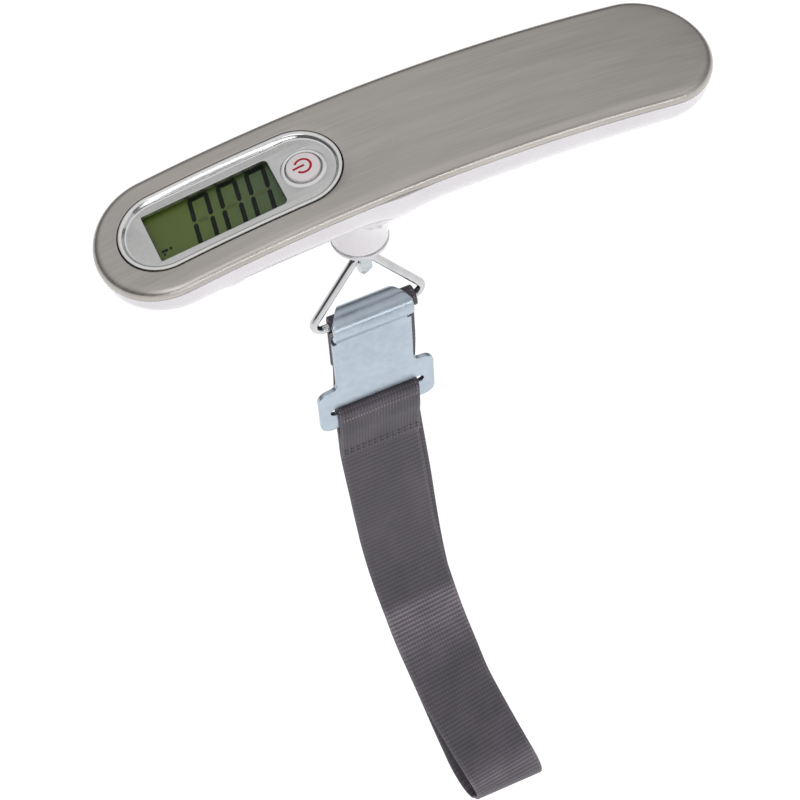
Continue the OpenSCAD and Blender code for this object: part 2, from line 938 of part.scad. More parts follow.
// Smooth curve through four neighbouring points.
function blend(a, b, c, d, t) =
    ((2 * b) + (c - a) * t + (2 * a - 5 * b + 4 * c - d) * t * t
        + (3 * b - a - 3 * c + d) * t * t * t) / 2;

function smooth(points, steps) =
    let (last = len(points) - 1)
    concat([for (i = [0:last - 1]) for (s = [0:steps - 1])
        blend(points[max(i - 1, 0)], points[i], points[i + 1], points[min(i + 2, last)], s / steps)],
        [points[last]]);

strap_line = smooth(route, 3);

// Corners of the webbing's section at station i of its line.
function strap_section(i) =
    let (
        forward = route_frame(strap_line, i),
        level = [1, 0, 0] - forward * forward[0],
        across = level / norm(level) * webbing_width / 2,
        through = cross(forward, across) / norm(across) * webbing_thickness / 2,
        middle = strap_line[i] + [neck_x, 0, 0])
    [middle - across - through, middle + across - through,
        middle + across + through, middle - across + through];

module strap() {
    color(webbing_colour)
    lean()
    skin([for (i = [0:len(strap_line) - 1]) strap_section(i)]);
}

// A row of stitches across the webbing.
module stitch_row(x, y, z, count = 14) {
    pitch = (webbing_width - 3) / (count - 1);
    for (i = [0:count - 1])
        translate([neck_x + x + (i - (count - 1) / 2) * pitch, y, z])
        plate_box(pitch * 0.6, 0.3, -0.2, 0.2);
}

module strap_stitching() {
    front = -1.5 - webbing_thickness / 2 - 0.17;
    rear = 2.47 + webbing_thickness / 2 + 0.17;
    color([0.35, 0.33, 0.37])
    lean()
    union() {
        stitch_row(0, front, -132.5);
        stitch_row(0, front, -135);
        stitch_row(1, rear, -86);
        stitch_row(1, rear, -89);
    }
}

top_cover();
upper_shell();
lower_shell();
display_bezel();
display_lens();
lcd_front_glass();
lcd_rear_glass();
lcd_reflector();
lcd_holder();
zebra_strip();
circuit_board();
controller_chip();
board_screws();
power_switch();
switch_plunger();
power_button();
coin_cell();
positive_contact();
negative_contact();
battery_door();
housing_screws();
load_cell();
strain_gauges();
load_cell_plate();
load_cell_screws();
signal_wires();
stud_bushing();
neck_ring();
pull_stud();
stud_washer();
stud_nut();
triangle_ring();
hook_plate();
strap();
strap_stitching();
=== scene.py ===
"""Digital luggage scale: visual pieces, materials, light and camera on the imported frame.

Shapes are worked out in millimetres, in the frame of the CAD model, and stored in metres.
"""

import math

import bmesh
import bpy
import numpy as np
from mathutils import Matrix, Vector


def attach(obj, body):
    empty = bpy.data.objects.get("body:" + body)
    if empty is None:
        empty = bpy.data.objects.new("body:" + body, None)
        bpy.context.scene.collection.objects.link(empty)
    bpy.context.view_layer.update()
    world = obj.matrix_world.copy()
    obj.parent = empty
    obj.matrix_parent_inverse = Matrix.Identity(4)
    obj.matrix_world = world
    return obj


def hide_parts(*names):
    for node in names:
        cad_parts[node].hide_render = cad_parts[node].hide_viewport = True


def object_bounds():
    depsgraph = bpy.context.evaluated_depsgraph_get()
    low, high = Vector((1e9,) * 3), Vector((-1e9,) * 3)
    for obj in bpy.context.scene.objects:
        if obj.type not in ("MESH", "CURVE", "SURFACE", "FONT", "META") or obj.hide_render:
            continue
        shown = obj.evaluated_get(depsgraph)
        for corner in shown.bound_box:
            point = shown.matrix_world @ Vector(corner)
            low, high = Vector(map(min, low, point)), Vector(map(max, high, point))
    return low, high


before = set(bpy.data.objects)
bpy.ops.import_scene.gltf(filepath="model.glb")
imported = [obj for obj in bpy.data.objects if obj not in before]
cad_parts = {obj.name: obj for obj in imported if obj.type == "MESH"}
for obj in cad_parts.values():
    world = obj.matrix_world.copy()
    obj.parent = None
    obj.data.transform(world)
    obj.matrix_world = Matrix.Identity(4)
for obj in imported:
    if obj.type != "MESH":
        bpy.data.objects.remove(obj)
cad_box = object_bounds()

MM = 0.001

# Handle
ARCH = 405.0
HANDLE_LENGTH = 170.0
HALF_LENGTH = HANDLE_LENGTH / 2
HALF_WIDTH = 18.3
SIDE_DEPTH = 6.0
BELLY_DEPTH = 12.5
BELLY_TAPER = 0.35
COVER_SHEET = 0.6
COVER_SKIRT = 3.0
COVER_ROUND = 2.6
SHELL_WALL = 2.0

# Display group, placed on the arch
DISPLAY_AT = -49.0
WINDOW_MIDDLE = 1.0
WINDOW_HALF = (30.0, 12.0)
LCD_MIDDLE = -3.5
LCD_VIEW = (34.2, 15.2)
BEZEL_FLOOR = -1.6
BEZEL_UNDER = -2.8
BUTTON_AT = 20.9
BUTTON_RADIUS = 4.4
BATTERY_AT = -6.0
DOOR_RADIUS = 11.4
LAND = (-14.3, -12.4)

# Pull gear
NECK_X = -15.5
NECK_RADIUS = 7.6
NECK_BOTTOM = -37.2
WIRE_RADIUS = 1.2
BAR_HEIGHT = -69.5
RING_PEAK = -42.0
RING_HALF_BASE = 18.4
RING_CORNER = 3.0
PLATE_Y = -1.0
HANGER_LEAN = 3.3
PLATE_THICKNESS = 1.5
PLATE_HALF = 11.75
EAR_HALF = 17.75
SLOT = (-112.1, -108.9)
PLATE_BOTTOM = -119.5
WEBBING_WIDTH = 25.0
WEBBING_THICKNESS = 1.3
RIB_PITCH = 2.1
WARP_PITCH = 0.95
WEFT_PITCH = 0.85
TAIL_LENGTH = 27.0

SCREW_SPOTS = [(-80, 0), (6, 12.2), (6, -12.2), (76, 0)]


# ---- Meshes -----------------------------------------------------------------

def bend(points):
    """Flat casing points (along, y, height) moved onto the arch."""
    p = np.asarray(points, float)
    turn = p[:, 0] / ARCH
    reach = ARCH + p[:, 2]
    return np.stack([reach * np.sin(turn), p[:, 1], reach * np.cos(turn) - ARCH], 1)


def on_arch(along):
    """Matrix, in millimetres, of the place on the arch's top surface."""
    turn = along / ARCH
    place = Matrix.Translation((ARCH * math.sin(turn), 0, ARCH * math.cos(turn) - ARCH))
    return place @ Matrix.Rotation(turn, 4, "Y")


DISPLAY = on_arch(DISPLAY_AT)


def placed(points, matrix):
    """Points moved by a matrix."""
    m = np.array(matrix)
    return np.asarray(points, float) @ m[:3, :3].T + m[:3, 3]


def grid_faces(rows, columns, wrap_rows=False, wrap_columns=True):
    """Quads of a grid of points stored row by row."""
    last_row = rows if wrap_rows else rows - 1
    last_column = columns if wrap_columns else columns - 1
    return [
        (
            i * columns + j,
            i * columns + (j + 1) % columns,
            (i + 1) % rows * columns + (j + 1) % columns,
            (i + 1) % rows * columns + j,
        )
        for i in range(last_row)
        for j in range(last_column)
    ]


def mesh_object(name, points, faces, sharp=None):
    """A mesh object from points in millimetres, with outward normals and smooth shading."""
    mesh = bpy.data.meshes.new(name)
    mesh.from_pydata((np.asarray(points, float) * MM).tolist(), [], faces)
    obj = bpy.data.objects.new(name, mesh)
    bpy.context.scene.collection.objects.link(obj)
    tidy_mesh(obj)
    if sharp:
        sharpen(obj, sharp)
    return obj


def tidy_mesh(obj):
    """Merges doubled points, drops empty faces and turns every face outwards."""
    work = bmesh.new()
    work.from_mesh(obj.data)
    bmesh.ops.remove_doubles(work, verts=work.verts, dist=1e-7)
    bmesh.ops.dissolve_degenerate(work, edges=work.edges, dist=1e-8)
    bmesh.ops.recalc_face_normals(work, faces=work.faces)
    work.to_mesh(obj.data)
    work.free()
    obj.data.polygons.foreach_set("use_smooth", [True] * len(obj.data.polygons))


def sharpen(obj, degrees):
    """Marks the edges that turn by more than an angle as sharp."""
    work = bmesh.new()
    work.from_mesh(obj.data)
    limit = math.radians(degrees)
    for edge in work.edges:
        if len(edge.link_faces) == 2 and edge.calc_face_angle(0) > limit:
            edge.smooth = False
    work.to_mesh(obj.data)
    work.free()


def apply_modifiers(obj):
    """Replaces the object's mesh by what its modifiers make of it."""
    graph = bpy.context.evaluated_depsgraph_get()
    graph.update()
    made = bpy.data.meshes.new_from_object(obj.evaluated_get(graph))
    obj.modifiers.clear()
    obj.data = made


def cut(obj, cutters):
    """Cuts each of the cutters out of the object, and removes the cutters."""
    for cutter in cutters:
        modifier = obj.modifiers.new("cut", "BOOLEAN")
        modifier.operation = "DIFFERENCE"
        modifier.solver = "EXACT"
        modifier.object = cutter
    apply_modifiers(obj)
    for cutter in cutters:
        bpy.data.objects.remove(cutter)


def join(target, others):
    """Adds the other objects' meshes to the target's mesh."""
    work = bmesh.new()
    work.from_mesh(target.data)
    for other in others:
        work.from_mesh(other.data)
        bpy.data.objects.remove(other)
    work.to_mesh(target.data)
    work.free()


def lathe(name, profile, matrix=Matrix(), count=96, sharp=35):
    """A closed profile of (radius, height) turned about the local Z axis."""
    turns = np.linspace(0, 2 * math.pi, count, endpoint=False)
    points = [
        (radius * math.cos(turn), radius * math.sin(turn), height)
        for radius, height in profile
        for turn in turns
    ]
    faces = grid_faces(len(profile), count, wrap_rows=True)
    return mesh_object(name, placed(points, matrix), faces, sharp)


def arc(centre, radius, start, end, steps):
    """Points of an arc in a plane, angles in degrees."""
    return [
        (
            centre[0] + radius * math.cos(math.radians(start + (end - start) * i / steps)),
            centre[1] + radius * math.sin(math.radians(start + (end - start) * i / steps)),
        )
        for i in range(steps + 1)
    ]


def outline_object(name, loops, thickness, bevel, matrix):
    """A plate with rounded edges: 2D loops (the first is the outside) made solid about z = 0."""
    curve = bpy.data.curves.new(name, "CURVE")
    curve.dimensions = "2D"
    curve.fill_mode = "BOTH"
    curve.extrude = (thickness / 2 - bevel) * MM
    curve.bevel_depth = bevel * MM
    curve.bevel_resolution = 2
    curve.offset = -bevel * MM
    for loop in loops:
        spline = curve.splines.new("POLY")
        spline.points.add(len(loop) - 1)
        for point, (x, y) in zip(spline.points, loop):
            point.co = (x * MM, y * MM, 0, 1)
        spline.use_cyclic_u = True
    holder = bpy.data.objects.new(name, curve)
    bpy.context.scene.collection.objects.link(holder)
    graph = bpy.context.evaluated_depsgraph_get()
    graph.update()
    mesh = bpy.data.meshes.new_from_object(holder.evaluated_get(graph))
    bpy.data.objects.remove(holder)
    in_metres = matrix.copy()
    in_metres.translation = matrix.translation * MM
    mesh.transform(in_metres)
    obj = bpy.data.objects.new(name, mesh)
    bpy.context.scene.collection.objects.link(obj)
    tidy_mesh(obj)
    sharpen(obj, 40)
    return obj


def cylinder_cutter(radius, bottom, top, matrix, count=64):
    """A cylinder to cut with, along the matrix's Z axis."""
    profile = [(0, bottom), (radius, bottom), (radius, top), (0, top)]
    return lathe("cutter", profile, matrix, count)


def box_cutter(low, high, matrix=Matrix()):
    """A box to cut with, between two corners."""
    corners = [
        (x, y, z) for x in (low[0], high[0]) for y in (low[1], high[1]) for z in (low[2], high[2])]
    faces = [(0, 1, 3, 2), (4, 6, 7, 5), (0, 4, 5, 1), (2, 3, 7, 6), (0, 2, 6, 4), (1, 5, 7, 3)]
    return mesh_object("cutter", placed(corners, matrix), faces)


# ---- Materials ----------------------------------------------------------------

def new_material(name):
    """A new material with nodes, as (material, node tree, shader)."""
    made = bpy.data.materials.new(name)
    made.use_nodes = True
    tree = made.node_tree
    return made, tree, tree.nodes["Principled BSDF"]


def coordinates(tree, scale):
    """Object coordinates, stretched by a scale on each axis."""
    source = tree.nodes.new("ShaderNodeTexCoord")
    mapping = tree.nodes.new("ShaderNodeMapping")
    mapping.inputs["Scale"].default_value = scale
    tree.links.new(source.outputs["Object"], mapping.inputs["Vector"])
    return mapping.outputs["Vector"]


def noise(tree, scale, detail=4.0, rough=0.55):
    """Noise over object coordinates: scale is in features per metre on each axis."""
    node = tree.nodes.new("ShaderNodeTexNoise")
    node.inputs["Scale"].default_value = 1.0
    node.inputs["Detail"].default_value = detail
    node.inputs["Roughness"].default_value = rough
    tree.links.new(coordinates(tree, scale), node.inputs["Vector"])
    return node.outputs["Fac"]


def spread(tree, value, low, high, at=(0.3, 0.7)):
    """A value in a range made to run from low to high."""
    node = tree.nodes.new("ShaderNodeMapRange")
    node.inputs["From Min"].default_value = at[0]
    node.inputs["From Max"].default_value = at[1]
    node.inputs["To Min"].default_value = low
    node.inputs["To Max"].default_value = high
    tree.links.new(value, node.inputs["Value"])
    return node.outputs["Result"]


def ramp(tree, value, stops):
    """A colour ramp of (place, colour) stops."""
    node = tree.nodes.new("ShaderNodeValToRGB")
    elements = node.color_ramp.elements
    elements[0].position, elements[0].color = stops[0][0], (*stops[0][1], 1)
    elements[1].position, elements[1].color = stops[-1][0], (*stops[-1][1], 1)
    for place, colour in stops[1:-1]:
        element = elements.new(place)
        element.color = (*colour, 1)
    tree.links.new(value, node.inputs["Fac"])
    return node.outputs["Color"]


def bump(tree, shader, height, depth, strength=1.0):
    """Bump of a depth in millimetres."""
    node = tree.nodes.new("ShaderNodeBump")
    node.inputs["Strength"].default_value = strength
    node.inputs["Distance"].default_value = depth * MM
    tree.links.new(height, node.inputs["Height"])
    tree.links.new(node.outputs["Normal"], shader.inputs["Normal"])


def metal(name, dark, light, rough, grain, depth, anisotropy=0.0):
    """A metal whose colour and roughness vary with a grain of features per metre."""
    made, tree, shader = new_material(name)
    shader.inputs["Metallic"].default_value = 1.0
    shader.inputs["Anisotropic"].default_value = anisotropy
    fine = noise(tree, grain, 5.0, 0.6)
    broad = noise(tree, tuple(g * 0.07 + 25 for g in grain), 3.0)
    mixed = tree.nodes.new("ShaderNodeMath")
    mixed.operation = "MULTIPLY_ADD"
    mixed.inputs[1].default_value = 0.5
    tree.links.new(fine, mixed.inputs[0])
    half = tree.nodes.new("ShaderNodeMath")
    half.operation = "MULTIPLY"
    half.inputs[1].default_value = 0.5
    tree.links.new(broad, half.inputs[0])
    tree.links.new(half.outputs[0], mixed.inputs[2])
    tree.links.new(ramp(tree, mixed.outputs[0], [(0.35, dark), (0.65, light)]), shader.inputs["Base Color"])
    tree.links.new(spread(tree, mixed.outputs[0], rough[0], rough[1]), shader.inputs["Roughness"])
    bump(tree, shader, fine, depth)
    return made


def plastic(name, dark, light, rough, grain=900.0, depth=0.004, coat=0.0, shine=0.5):
    """Moulded plastic with faint clouding and a fine surface texture."""
    made, tree, shader = new_material(name)
    shader.inputs["Specular IOR Level"].default_value = shine
    shader.inputs["Coat Weight"].default_value = coat
    shader.inputs["Coat Roughness"].default_value = 0.06
    clouds = noise(tree, (60, 60, 60), 3.0)
    tree.links.new(ramp(tree, clouds, [(0.3, dark), (0.7, light)]), shader.inputs["Base Color"])
    fine = noise(tree, (grain, grain, grain), 3.0)
    tree.links.new(spread(tree, fine, rough[0], rough[1]), shader.inputs["Roughness"])
    bump(tree, shader, fine, depth)
    return made


def glass_like(name, tint, alpha):
    """A clear pane: a tint with faint clouding, shown at an alpha."""
    made, tree, shader = new_material(name)
    clouds = noise(tree, (80, 80, 80), 2.0)
    tree.links.new(ramp(tree, clouds, [(0.3, tint), (0.7, tuple(min(1, c * 1.03) for c in tint))]),
                   shader.inputs["Base Color"])
    tree.links.new(spread(tree, clouds, 0.03, 0.06), shader.inputs["Roughness"])
    shader.inputs["Alpha"].default_value = alpha
    shader.inputs["Specular IOR Level"].default_value = 0.2
    return made


STEEL = metal("brushed_steel_cover", (0.43, 0.405, 0.375), (0.54, 0.51, 0.475), (0.30, 0.40),
              (30, 2600, 350), 0.004, 0.55)
SHELL = plastic("gloss_white_shell", (0.70, 0.67, 0.70), (0.76, 0.735, 0.76), (0.16, 0.22), coat=0.5)
BEZEL = metal("silver_bezel", (0.56, 0.56, 0.555), (0.66, 0.66, 0.655), (0.28, 0.36),
              (900, 900, 900), 0.003)
# Glossier, lighter copy of the bezel's silver for its raised rim and button lip: the gloss is the finish,
# the lighter colour is a painted highlight.
BEZEL_RIM_PAINTED_HIGHLIGHT = metal("silver_bezel_rim_painted_highlight", (0.74, 0.74, 0.74), (0.84, 0.84, 0.84), (0.14, 0.2),
                  (700, 700, 700), 0.002)
CHROME = metal("bright_chrome_plate", (0.52, 0.52, 0.53), (0.64, 0.64, 0.65), (0.05, 0.11),
               (300, 300, 300), 0.002)
ZINC = metal("blue_zinc_plate", (0.38, 0.45, 0.52), (0.49, 0.56, 0.63), (0.24, 0.36),
             (420, 420, 420), 0.008)
STUD = metal("zinc_stud", (0.42, 0.46, 0.48), (0.58, 0.62, 0.64), (0.2, 0.32), (600, 600, 600), 0.006)
SCREW = metal("screw_steel", (0.4, 0.4, 0.41), (0.58, 0.58, 0.58), (0.25, 0.4), (900, 900, 900), 0.006)
CELL = metal("nickel_cell", (0.55, 0.55, 0.57), (0.68, 0.68, 0.7), (0.2, 0.3), (500, 500, 500), 0.003)
ALUMINIUM = metal("milled_aluminium", (0.6, 0.61, 0.63), (0.74, 0.75, 0.77), (0.3, 0.42),
                  (2000, 120, 120), 0.006)
BRASS = metal("turned_brass", (0.6, 0.45, 0.2), (0.75, 0.58, 0.3), (0.22, 0.32), (200, 200, 2600), 0.004)
BUTTON = plastic("gloss_button", (0.80, 0.74, 0.75), (0.86, 0.81, 0.82), (0.14, 0.2), coat=0.6)
GREY = plastic("grey_plastic", (0.3, 0.3, 0.31), (0.36, 0.36, 0.37), (0.4, 0.5))
DARK = plastic("dark_plastic", (0.012, 0.012, 0.013), (0.025, 0.025, 0.026), (0.35, 0.5), depth=0.01)
ZEBRA = plastic("zebra_rubber", (0.6, 0.38, 0.42), (0.72, 0.5, 0.54), (0.5, 0.6))
BOARD = plastic("green_board", (0.01, 0.08, 0.03), (0.02, 0.13, 0.05), (0.25, 0.35))
RESIN = plastic("gauge_resin", (0.5, 0.42, 0.2), (0.66, 0.58, 0.34), (0.3, 0.45))
WIRE = plastic("wire_jacket", (0.3, 0.01, 0.01), (0.42, 0.02, 0.02), (0.35, 0.45))
FIGURES = plastic("figure_ink", (0.004, 0.006, 0.004), (0.008, 0.011, 0.007), (0.3, 0.4), shine=0.1)
GHOST = plastic("unlit_figure_ink", (0.062, 0.093, 0.014), (0.072, 0.104, 0.018), (0.3, 0.4))
SYMBOL = plastic("symbol_ink", (0.42, 0.004, 0.022), (0.52, 0.006, 0.03), (0.25, 0.35), shine=0.2)
REFLECTOR = plastic("reflector_film", (0.3, 0.33, 0.2), (0.38, 0.4, 0.26), (0.4, 0.5))
LENS = glass_like("clear_lens", (0.1, 0.12, 0.1), 0.04)


def lcd_material():
    """Olive liquid crystal: greener to the left, bluer to the right, with faint clouding."""
    made, tree, shader = new_material("olive_liquid_crystal")
    start = (DISPLAY @ Vector((LCD_MIDDLE - LCD_VIEW[0] / 2, 0, 0))).x * MM
    end = (DISPLAY @ Vector((LCD_MIDDLE + LCD_VIEW[0] / 2, 0, 0))).x * MM
    source = tree.nodes.new("ShaderNodeTexCoord")
    split = tree.nodes.new("ShaderNodeSeparateXYZ")
    tree.links.new(source.outputs["Object"], split.inputs[0])
    clouds = noise(tree, (120, 260, 120), 4.0)
    wander = tree.nodes.new("ShaderNodeMath")
    wander.operation = "MULTIPLY_ADD"
    wander.inputs[1].default_value = 0.012
    tree.links.new(clouds, wander.inputs[0])
    tree.links.new(split.outputs["X"], wander.inputs[2])
    along = spread(tree, wander.outputs[0], 0.0, 1.0, (start + 0.006, end + 0.006))
    colour = ramp(tree, along, [
        (0.0, (0.085, 0.130, 0.012)), (0.3, (0.105, 0.150, 0.018)),
        (0.65, (0.080, 0.130, 0.026)), (1.0, (0.065, 0.112, 0.045))])
    tree.links.new(colour, shader.inputs["Base Color"])
    tree.links.new(spread(tree, clouds, 0.28, 0.36), shader.inputs["Roughness"])
    return made


def wave(tree, output, pitch, shift=None):
    """0 to 1 wave along one direction of the weave, in millimetres of pitch."""
    phase = tree.nodes.new("ShaderNodeMath")
    phase.operation = "MULTIPLY_ADD"
    phase.inputs[1].default_value = 2 * math.pi / pitch
    phase.inputs[2].default_value = 0.0
    tree.links.new(output, phase.inputs[0])
    if shift is not None:
        tree.links.new(shift, phase.inputs[2])
    sine = tree.nodes.new("ShaderNodeMath")
    sine.operation = "SINE"
    tree.links.new(phase.outputs[0], sine.inputs[0])
    return spread(tree, sine.outputs[0], 0.0, 1.0, (-1.0, 1.0))


def times(tree, a, b):
    """The product of two values."""
    node = tree.nodes.new("ShaderNodeMath")
    node.operation = "MULTIPLY"
    tree.links.new(a, node.inputs[0])
    tree.links.new(b, node.inputs[1])
    return node.outputs[0]


def plus(tree, a, b):
    """The sum of two values."""
    node = tree.nodes.new("ShaderNodeMath")
    tree.links.new(a, node.inputs[0])
    tree.links.new(b, node.inputs[1])
    return node.outputs[0]


def scaled(tree, value, factor):
    """A value times a fixed number."""
    node = tree.nodes.new("ShaderNodeMath")
    node.operation = "MULTIPLY"
    node.inputs[1].default_value = factor
    tree.links.new(value, node.inputs[0])
    return node.outputs[0]


def webbing_material():
    """Ribbed nylon: warp columns along the strap crossed by the weft, with painted highlight bands at its
    bends.
    """
    made, tree, shader = new_material("ribbed_nylon_webbing")
    shader.inputs["Sheen Weight"].default_value = 0.1
    shader.inputs["Sheen Roughness"].default_value = 0.4
    shader.inputs["Sheen Tint"].default_value = (0.75, 0.68, 0.8, 1)
    uv = tree.nodes.new("ShaderNodeUVMap")
    uv.uv_map = "weave"
    split = tree.nodes.new("ShaderNodeSeparateXYZ")
    tree.links.new(uv.outputs["UV"], split.inputs[0])

    columns = wave(tree, split.outputs["X"], WARP_PITCH)
    offset = scaled(tree, columns, 3.0)
    picks = wave(tree, split.outputs["Y"], WEFT_PITCH, offset)
    ribs = wave(tree, split.outputs["Y"], RIB_PITCH)
    tail = (-TAIL_LENGTH - 2, -TAIL_LENGTH + 2)
    fine_share = spread(tree, split.outputs["Y"], 0.4, 0.95, tail)
    rib_share = spread(tree, split.outputs["Y"], 0.3, 0.0, tail)
    fine = times(tree, times(tree, columns, picks), fine_share)
    weave = plus(tree, fine, times(tree, ribs, rib_share))
    # Painted highlight: lighter bands near the strap's bends, strongest on the ribs, stand in for where the
    # bends catch the light.
    bends = spread(tree, split.outputs["Y"], 0.0, 1.0, (-270.0, -120.0))
    painted_bend_highlight = ramp(tree, bends, [
        (0.0, (0, 0, 0)), (0.13, (0, 0, 0)), (0.2, (0.45, 0.45, 0.45)), (0.27, (0, 0, 0)),
        (0.6, (0, 0, 0)), (0.76, (0.5, 0.5, 0.5)), (0.83, (0.65, 0.65, 0.65)), (0.87, (0, 0, 0)),
        (1.0, (0, 0, 0))])
    weave = plus(tree, weave, times(tree, painted_bend_highlight, spread(tree, ribs, 0.6, 1.3, (0.0, 1.0))))
    sideways = tree.nodes.new("ShaderNodeMath")
    sideways.operation = "ABSOLUTE"
    tree.links.new(split.outputs["X"], sideways.inputs[0])
    selvedge = (WEBBING_WIDTH / 2 - 1.5, WEBBING_WIDTH / 2 - 0.9)
    edge = spread(tree, sideways.outputs[0], 0.0, 0.45, selvedge)
    weave = plus(tree, weave, times(tree, edge, picks))
    fibre = noise(tree, (3500, 3500, 900), 5.0, 0.7)
    cloud = noise(tree, (90, 90, 60), 3.0)
    tone = tree.nodes.new("ShaderNodeMath")
    tone.operation = "MULTIPLY_ADD"
    tone.inputs[1].default_value = 0.55
    tree.links.new(weave, tone.inputs[0])
    tree.links.new(times(tree, fibre, cloud), tone.inputs[2])
    colour = ramp(tree, tone.outputs[0], [
        (0.1, (0.019, 0.015, 0.022)), (0.4, (0.043, 0.035, 0.049)),
        (0.72, (0.100, 0.084, 0.106)), (0.95, (0.22, 0.185, 0.22))])
    tree.links.new(colour, shader.inputs["Base Color"])
    tree.links.new(spread(tree, fibre, 0.42, 0.62), shader.inputs["Roughness"])
    bump(tree, shader, tone.outputs[0], 0.12)
    return made


LCD = lcd_material()
WEBBING = webbing_material()
THREAD = plastic("nylon_thread", (0.035, 0.028, 0.04), (0.06, 0.05, 0.065), (0.5, 0.65),
                 grain=4000.0, depth=0.02)
LIGHT_THREAD = plastic("light_thread", (0.22, 0.18, 0.22), (0.34, 0.28, 0.34), (0.5, 0.65),
                       grain=4000.0, depth=0.02)

CAD_MATERIALS = {
    "upper_shell": GREY, "display_lens": LENS, "lcd_front_glass": LCD, "lcd_rear_glass": LCD,
    "lcd_reflector": REFLECTOR, "lcd_holder": DARK, "zebra_strip": ZEBRA, "circuit_board": BOARD,
    "controller_chip": DARK, "board_screws": SCREW, "power_switch": DARK, "switch_plunger": DARK,
    "coin_cell": CELL, "positive_contact": CELL, "negative_contact": CELL, "battery_door": SHELL,
    "housing_screws": SCREW, "load_cell": ALUMINIUM, "strain_gauges": RESIN, "load_cell_plate": SCREW,
    "load_cell_screws": SCREW, "signal_wires": WIRE, "stud_bushing": BRASS, "pull_stud": STUD,
    "stud_washer": STUD, "stud_nut": STUD,
}


def finish_piece(obj, material, body, slot, *nodes):
    """Gives a piece its material and body, and hides the CAD nodes it stands for; the slot is not used."""
    obj.data.materials.clear()
    obj.data.materials.append(material)
    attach(obj, body)
    if nodes:
        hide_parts(*nodes)
    return obj


def lean(obj):
    """Leans a piece of the hanger about the ring's bar, so that its weight hangs under it."""
    bar = Matrix.Translation((0, 0, BAR_HEIGHT * MM))
    obj.data.transform(bar @ Matrix.Rotation(math.radians(HANGER_LEAN), 4, "X") @ bar.inverted())
    return obj


# ---- Handle -------------------------------------------------------------------

def stadium(half_length, half_width, quarter=24, straight=60):
    """Outline points of a stadium from its -X end, with fixed counts on each part."""
    side = half_length - half_width
    line = np.linspace(-side, side, straight + 1)[1:-1]
    turn = np.radians(np.linspace(180, 90, quarter + 1))
    left = [(-side + half_width * math.cos(t), half_width * math.sin(t)) for t in turn]
    top = [(x, half_width) for x in line]
    half = left + top + [(-x, y) for x, y in reversed(left)]
    return np.array(half + [(x, -y) for x, y in reversed(half[1:-1])])


def casing_ring(inset, height):
    """Flat points of the handle's outline, inset and at a height, with the belly's taper."""
    outline = stadium(HALF_LENGTH - inset, max(HALF_WIDTH - inset, 0))
    taper = 1 - BELLY_TAPER * (2 * outline[:, 0] / HANDLE_LENGTH) ** 2
    level = np.full(len(outline), float(height))
    if height < -SIDE_DEPTH:
        level = -SIDE_DEPTH + (height + SIDE_DEPTH) * taper
    return np.column_stack([outline, level])


def casing_object(name, profile):
    """A closed casing through (inset, height) pairs, from its top middle to its bottom middle."""
    rings = [casing_ring(inset, height) for inset, height in profile]
    faces = grid_faces(len(rings), len(rings[0]))
    return mesh_object(name, bend(np.concatenate(rings)), faces)


def belly_profile(inset, steps=16):
    """(inset, height) pairs of the rounded belly, from the side to the keel."""
    return [
        (
            HALF_WIDTH - (HALF_WIDTH - inset) * math.cos(math.pi / 2 * i / steps),
            -SIDE_DEPTH - (BELLY_DEPTH - inset) * math.sin(math.pi / 2 * i / steps),
        )
        for i in range(steps + 1)
    ]


def window_ring(offset, height):
    """Flat points of the display window's outline, grown by an offset and at a height."""
    outline = stadium(WINDOW_HALF[0] + offset, WINDOW_HALF[1] + offset)
    outline[:, 0] += DISPLAY_AT + WINDOW_MIDDLE
    return np.column_stack([outline, np.full(len(outline), float(height))])


def between(first, last, count):
    """Evenly spaced values between two others, which are left out."""
    return [first + (last - first) * (i + 1) / (count + 1) for i in range(count)]


def top_cover():
    """Pressed steel cover: rolled edge, turned-down skirt and a window with a rounded lip."""
    edge = arc((COVER_ROUND, -COVER_ROUND), COVER_ROUND, 90, 180, 10)
    inner = arc((COVER_ROUND, -COVER_ROUND), COVER_ROUND - COVER_SHEET, 180, 90, 6)
    lip = [window_ring(*pair) for pair in ((0, -COVER_SHEET), (0, -0.28), (0.08, -0.08), (0.28, 0))]
    rolled = [casing_ring(*pair) for pair in edge]
    foot = [casing_ring(*pair) for pair in (
        (0, -COVER_SKIRT + 0.12), (0.12, -COVER_SKIRT), (COVER_SHEET, -COVER_SKIRT))]
    under = [casing_ring(*pair) for pair in inner]
    rings = (
        lip + between(lip[-1], rolled[0], 26) + rolled + foot + under
        + between(under[-1], lip[0], 12))
    faces = grid_faces(len(rings), len(rings[0]), wrap_rows=True)
    obj = mesh_object("steel_top_cover", bend(np.concatenate(rings)), faces, 40)
    return finish_piece(obj, STEEL, "handle", "cover_steel", "top_cover")


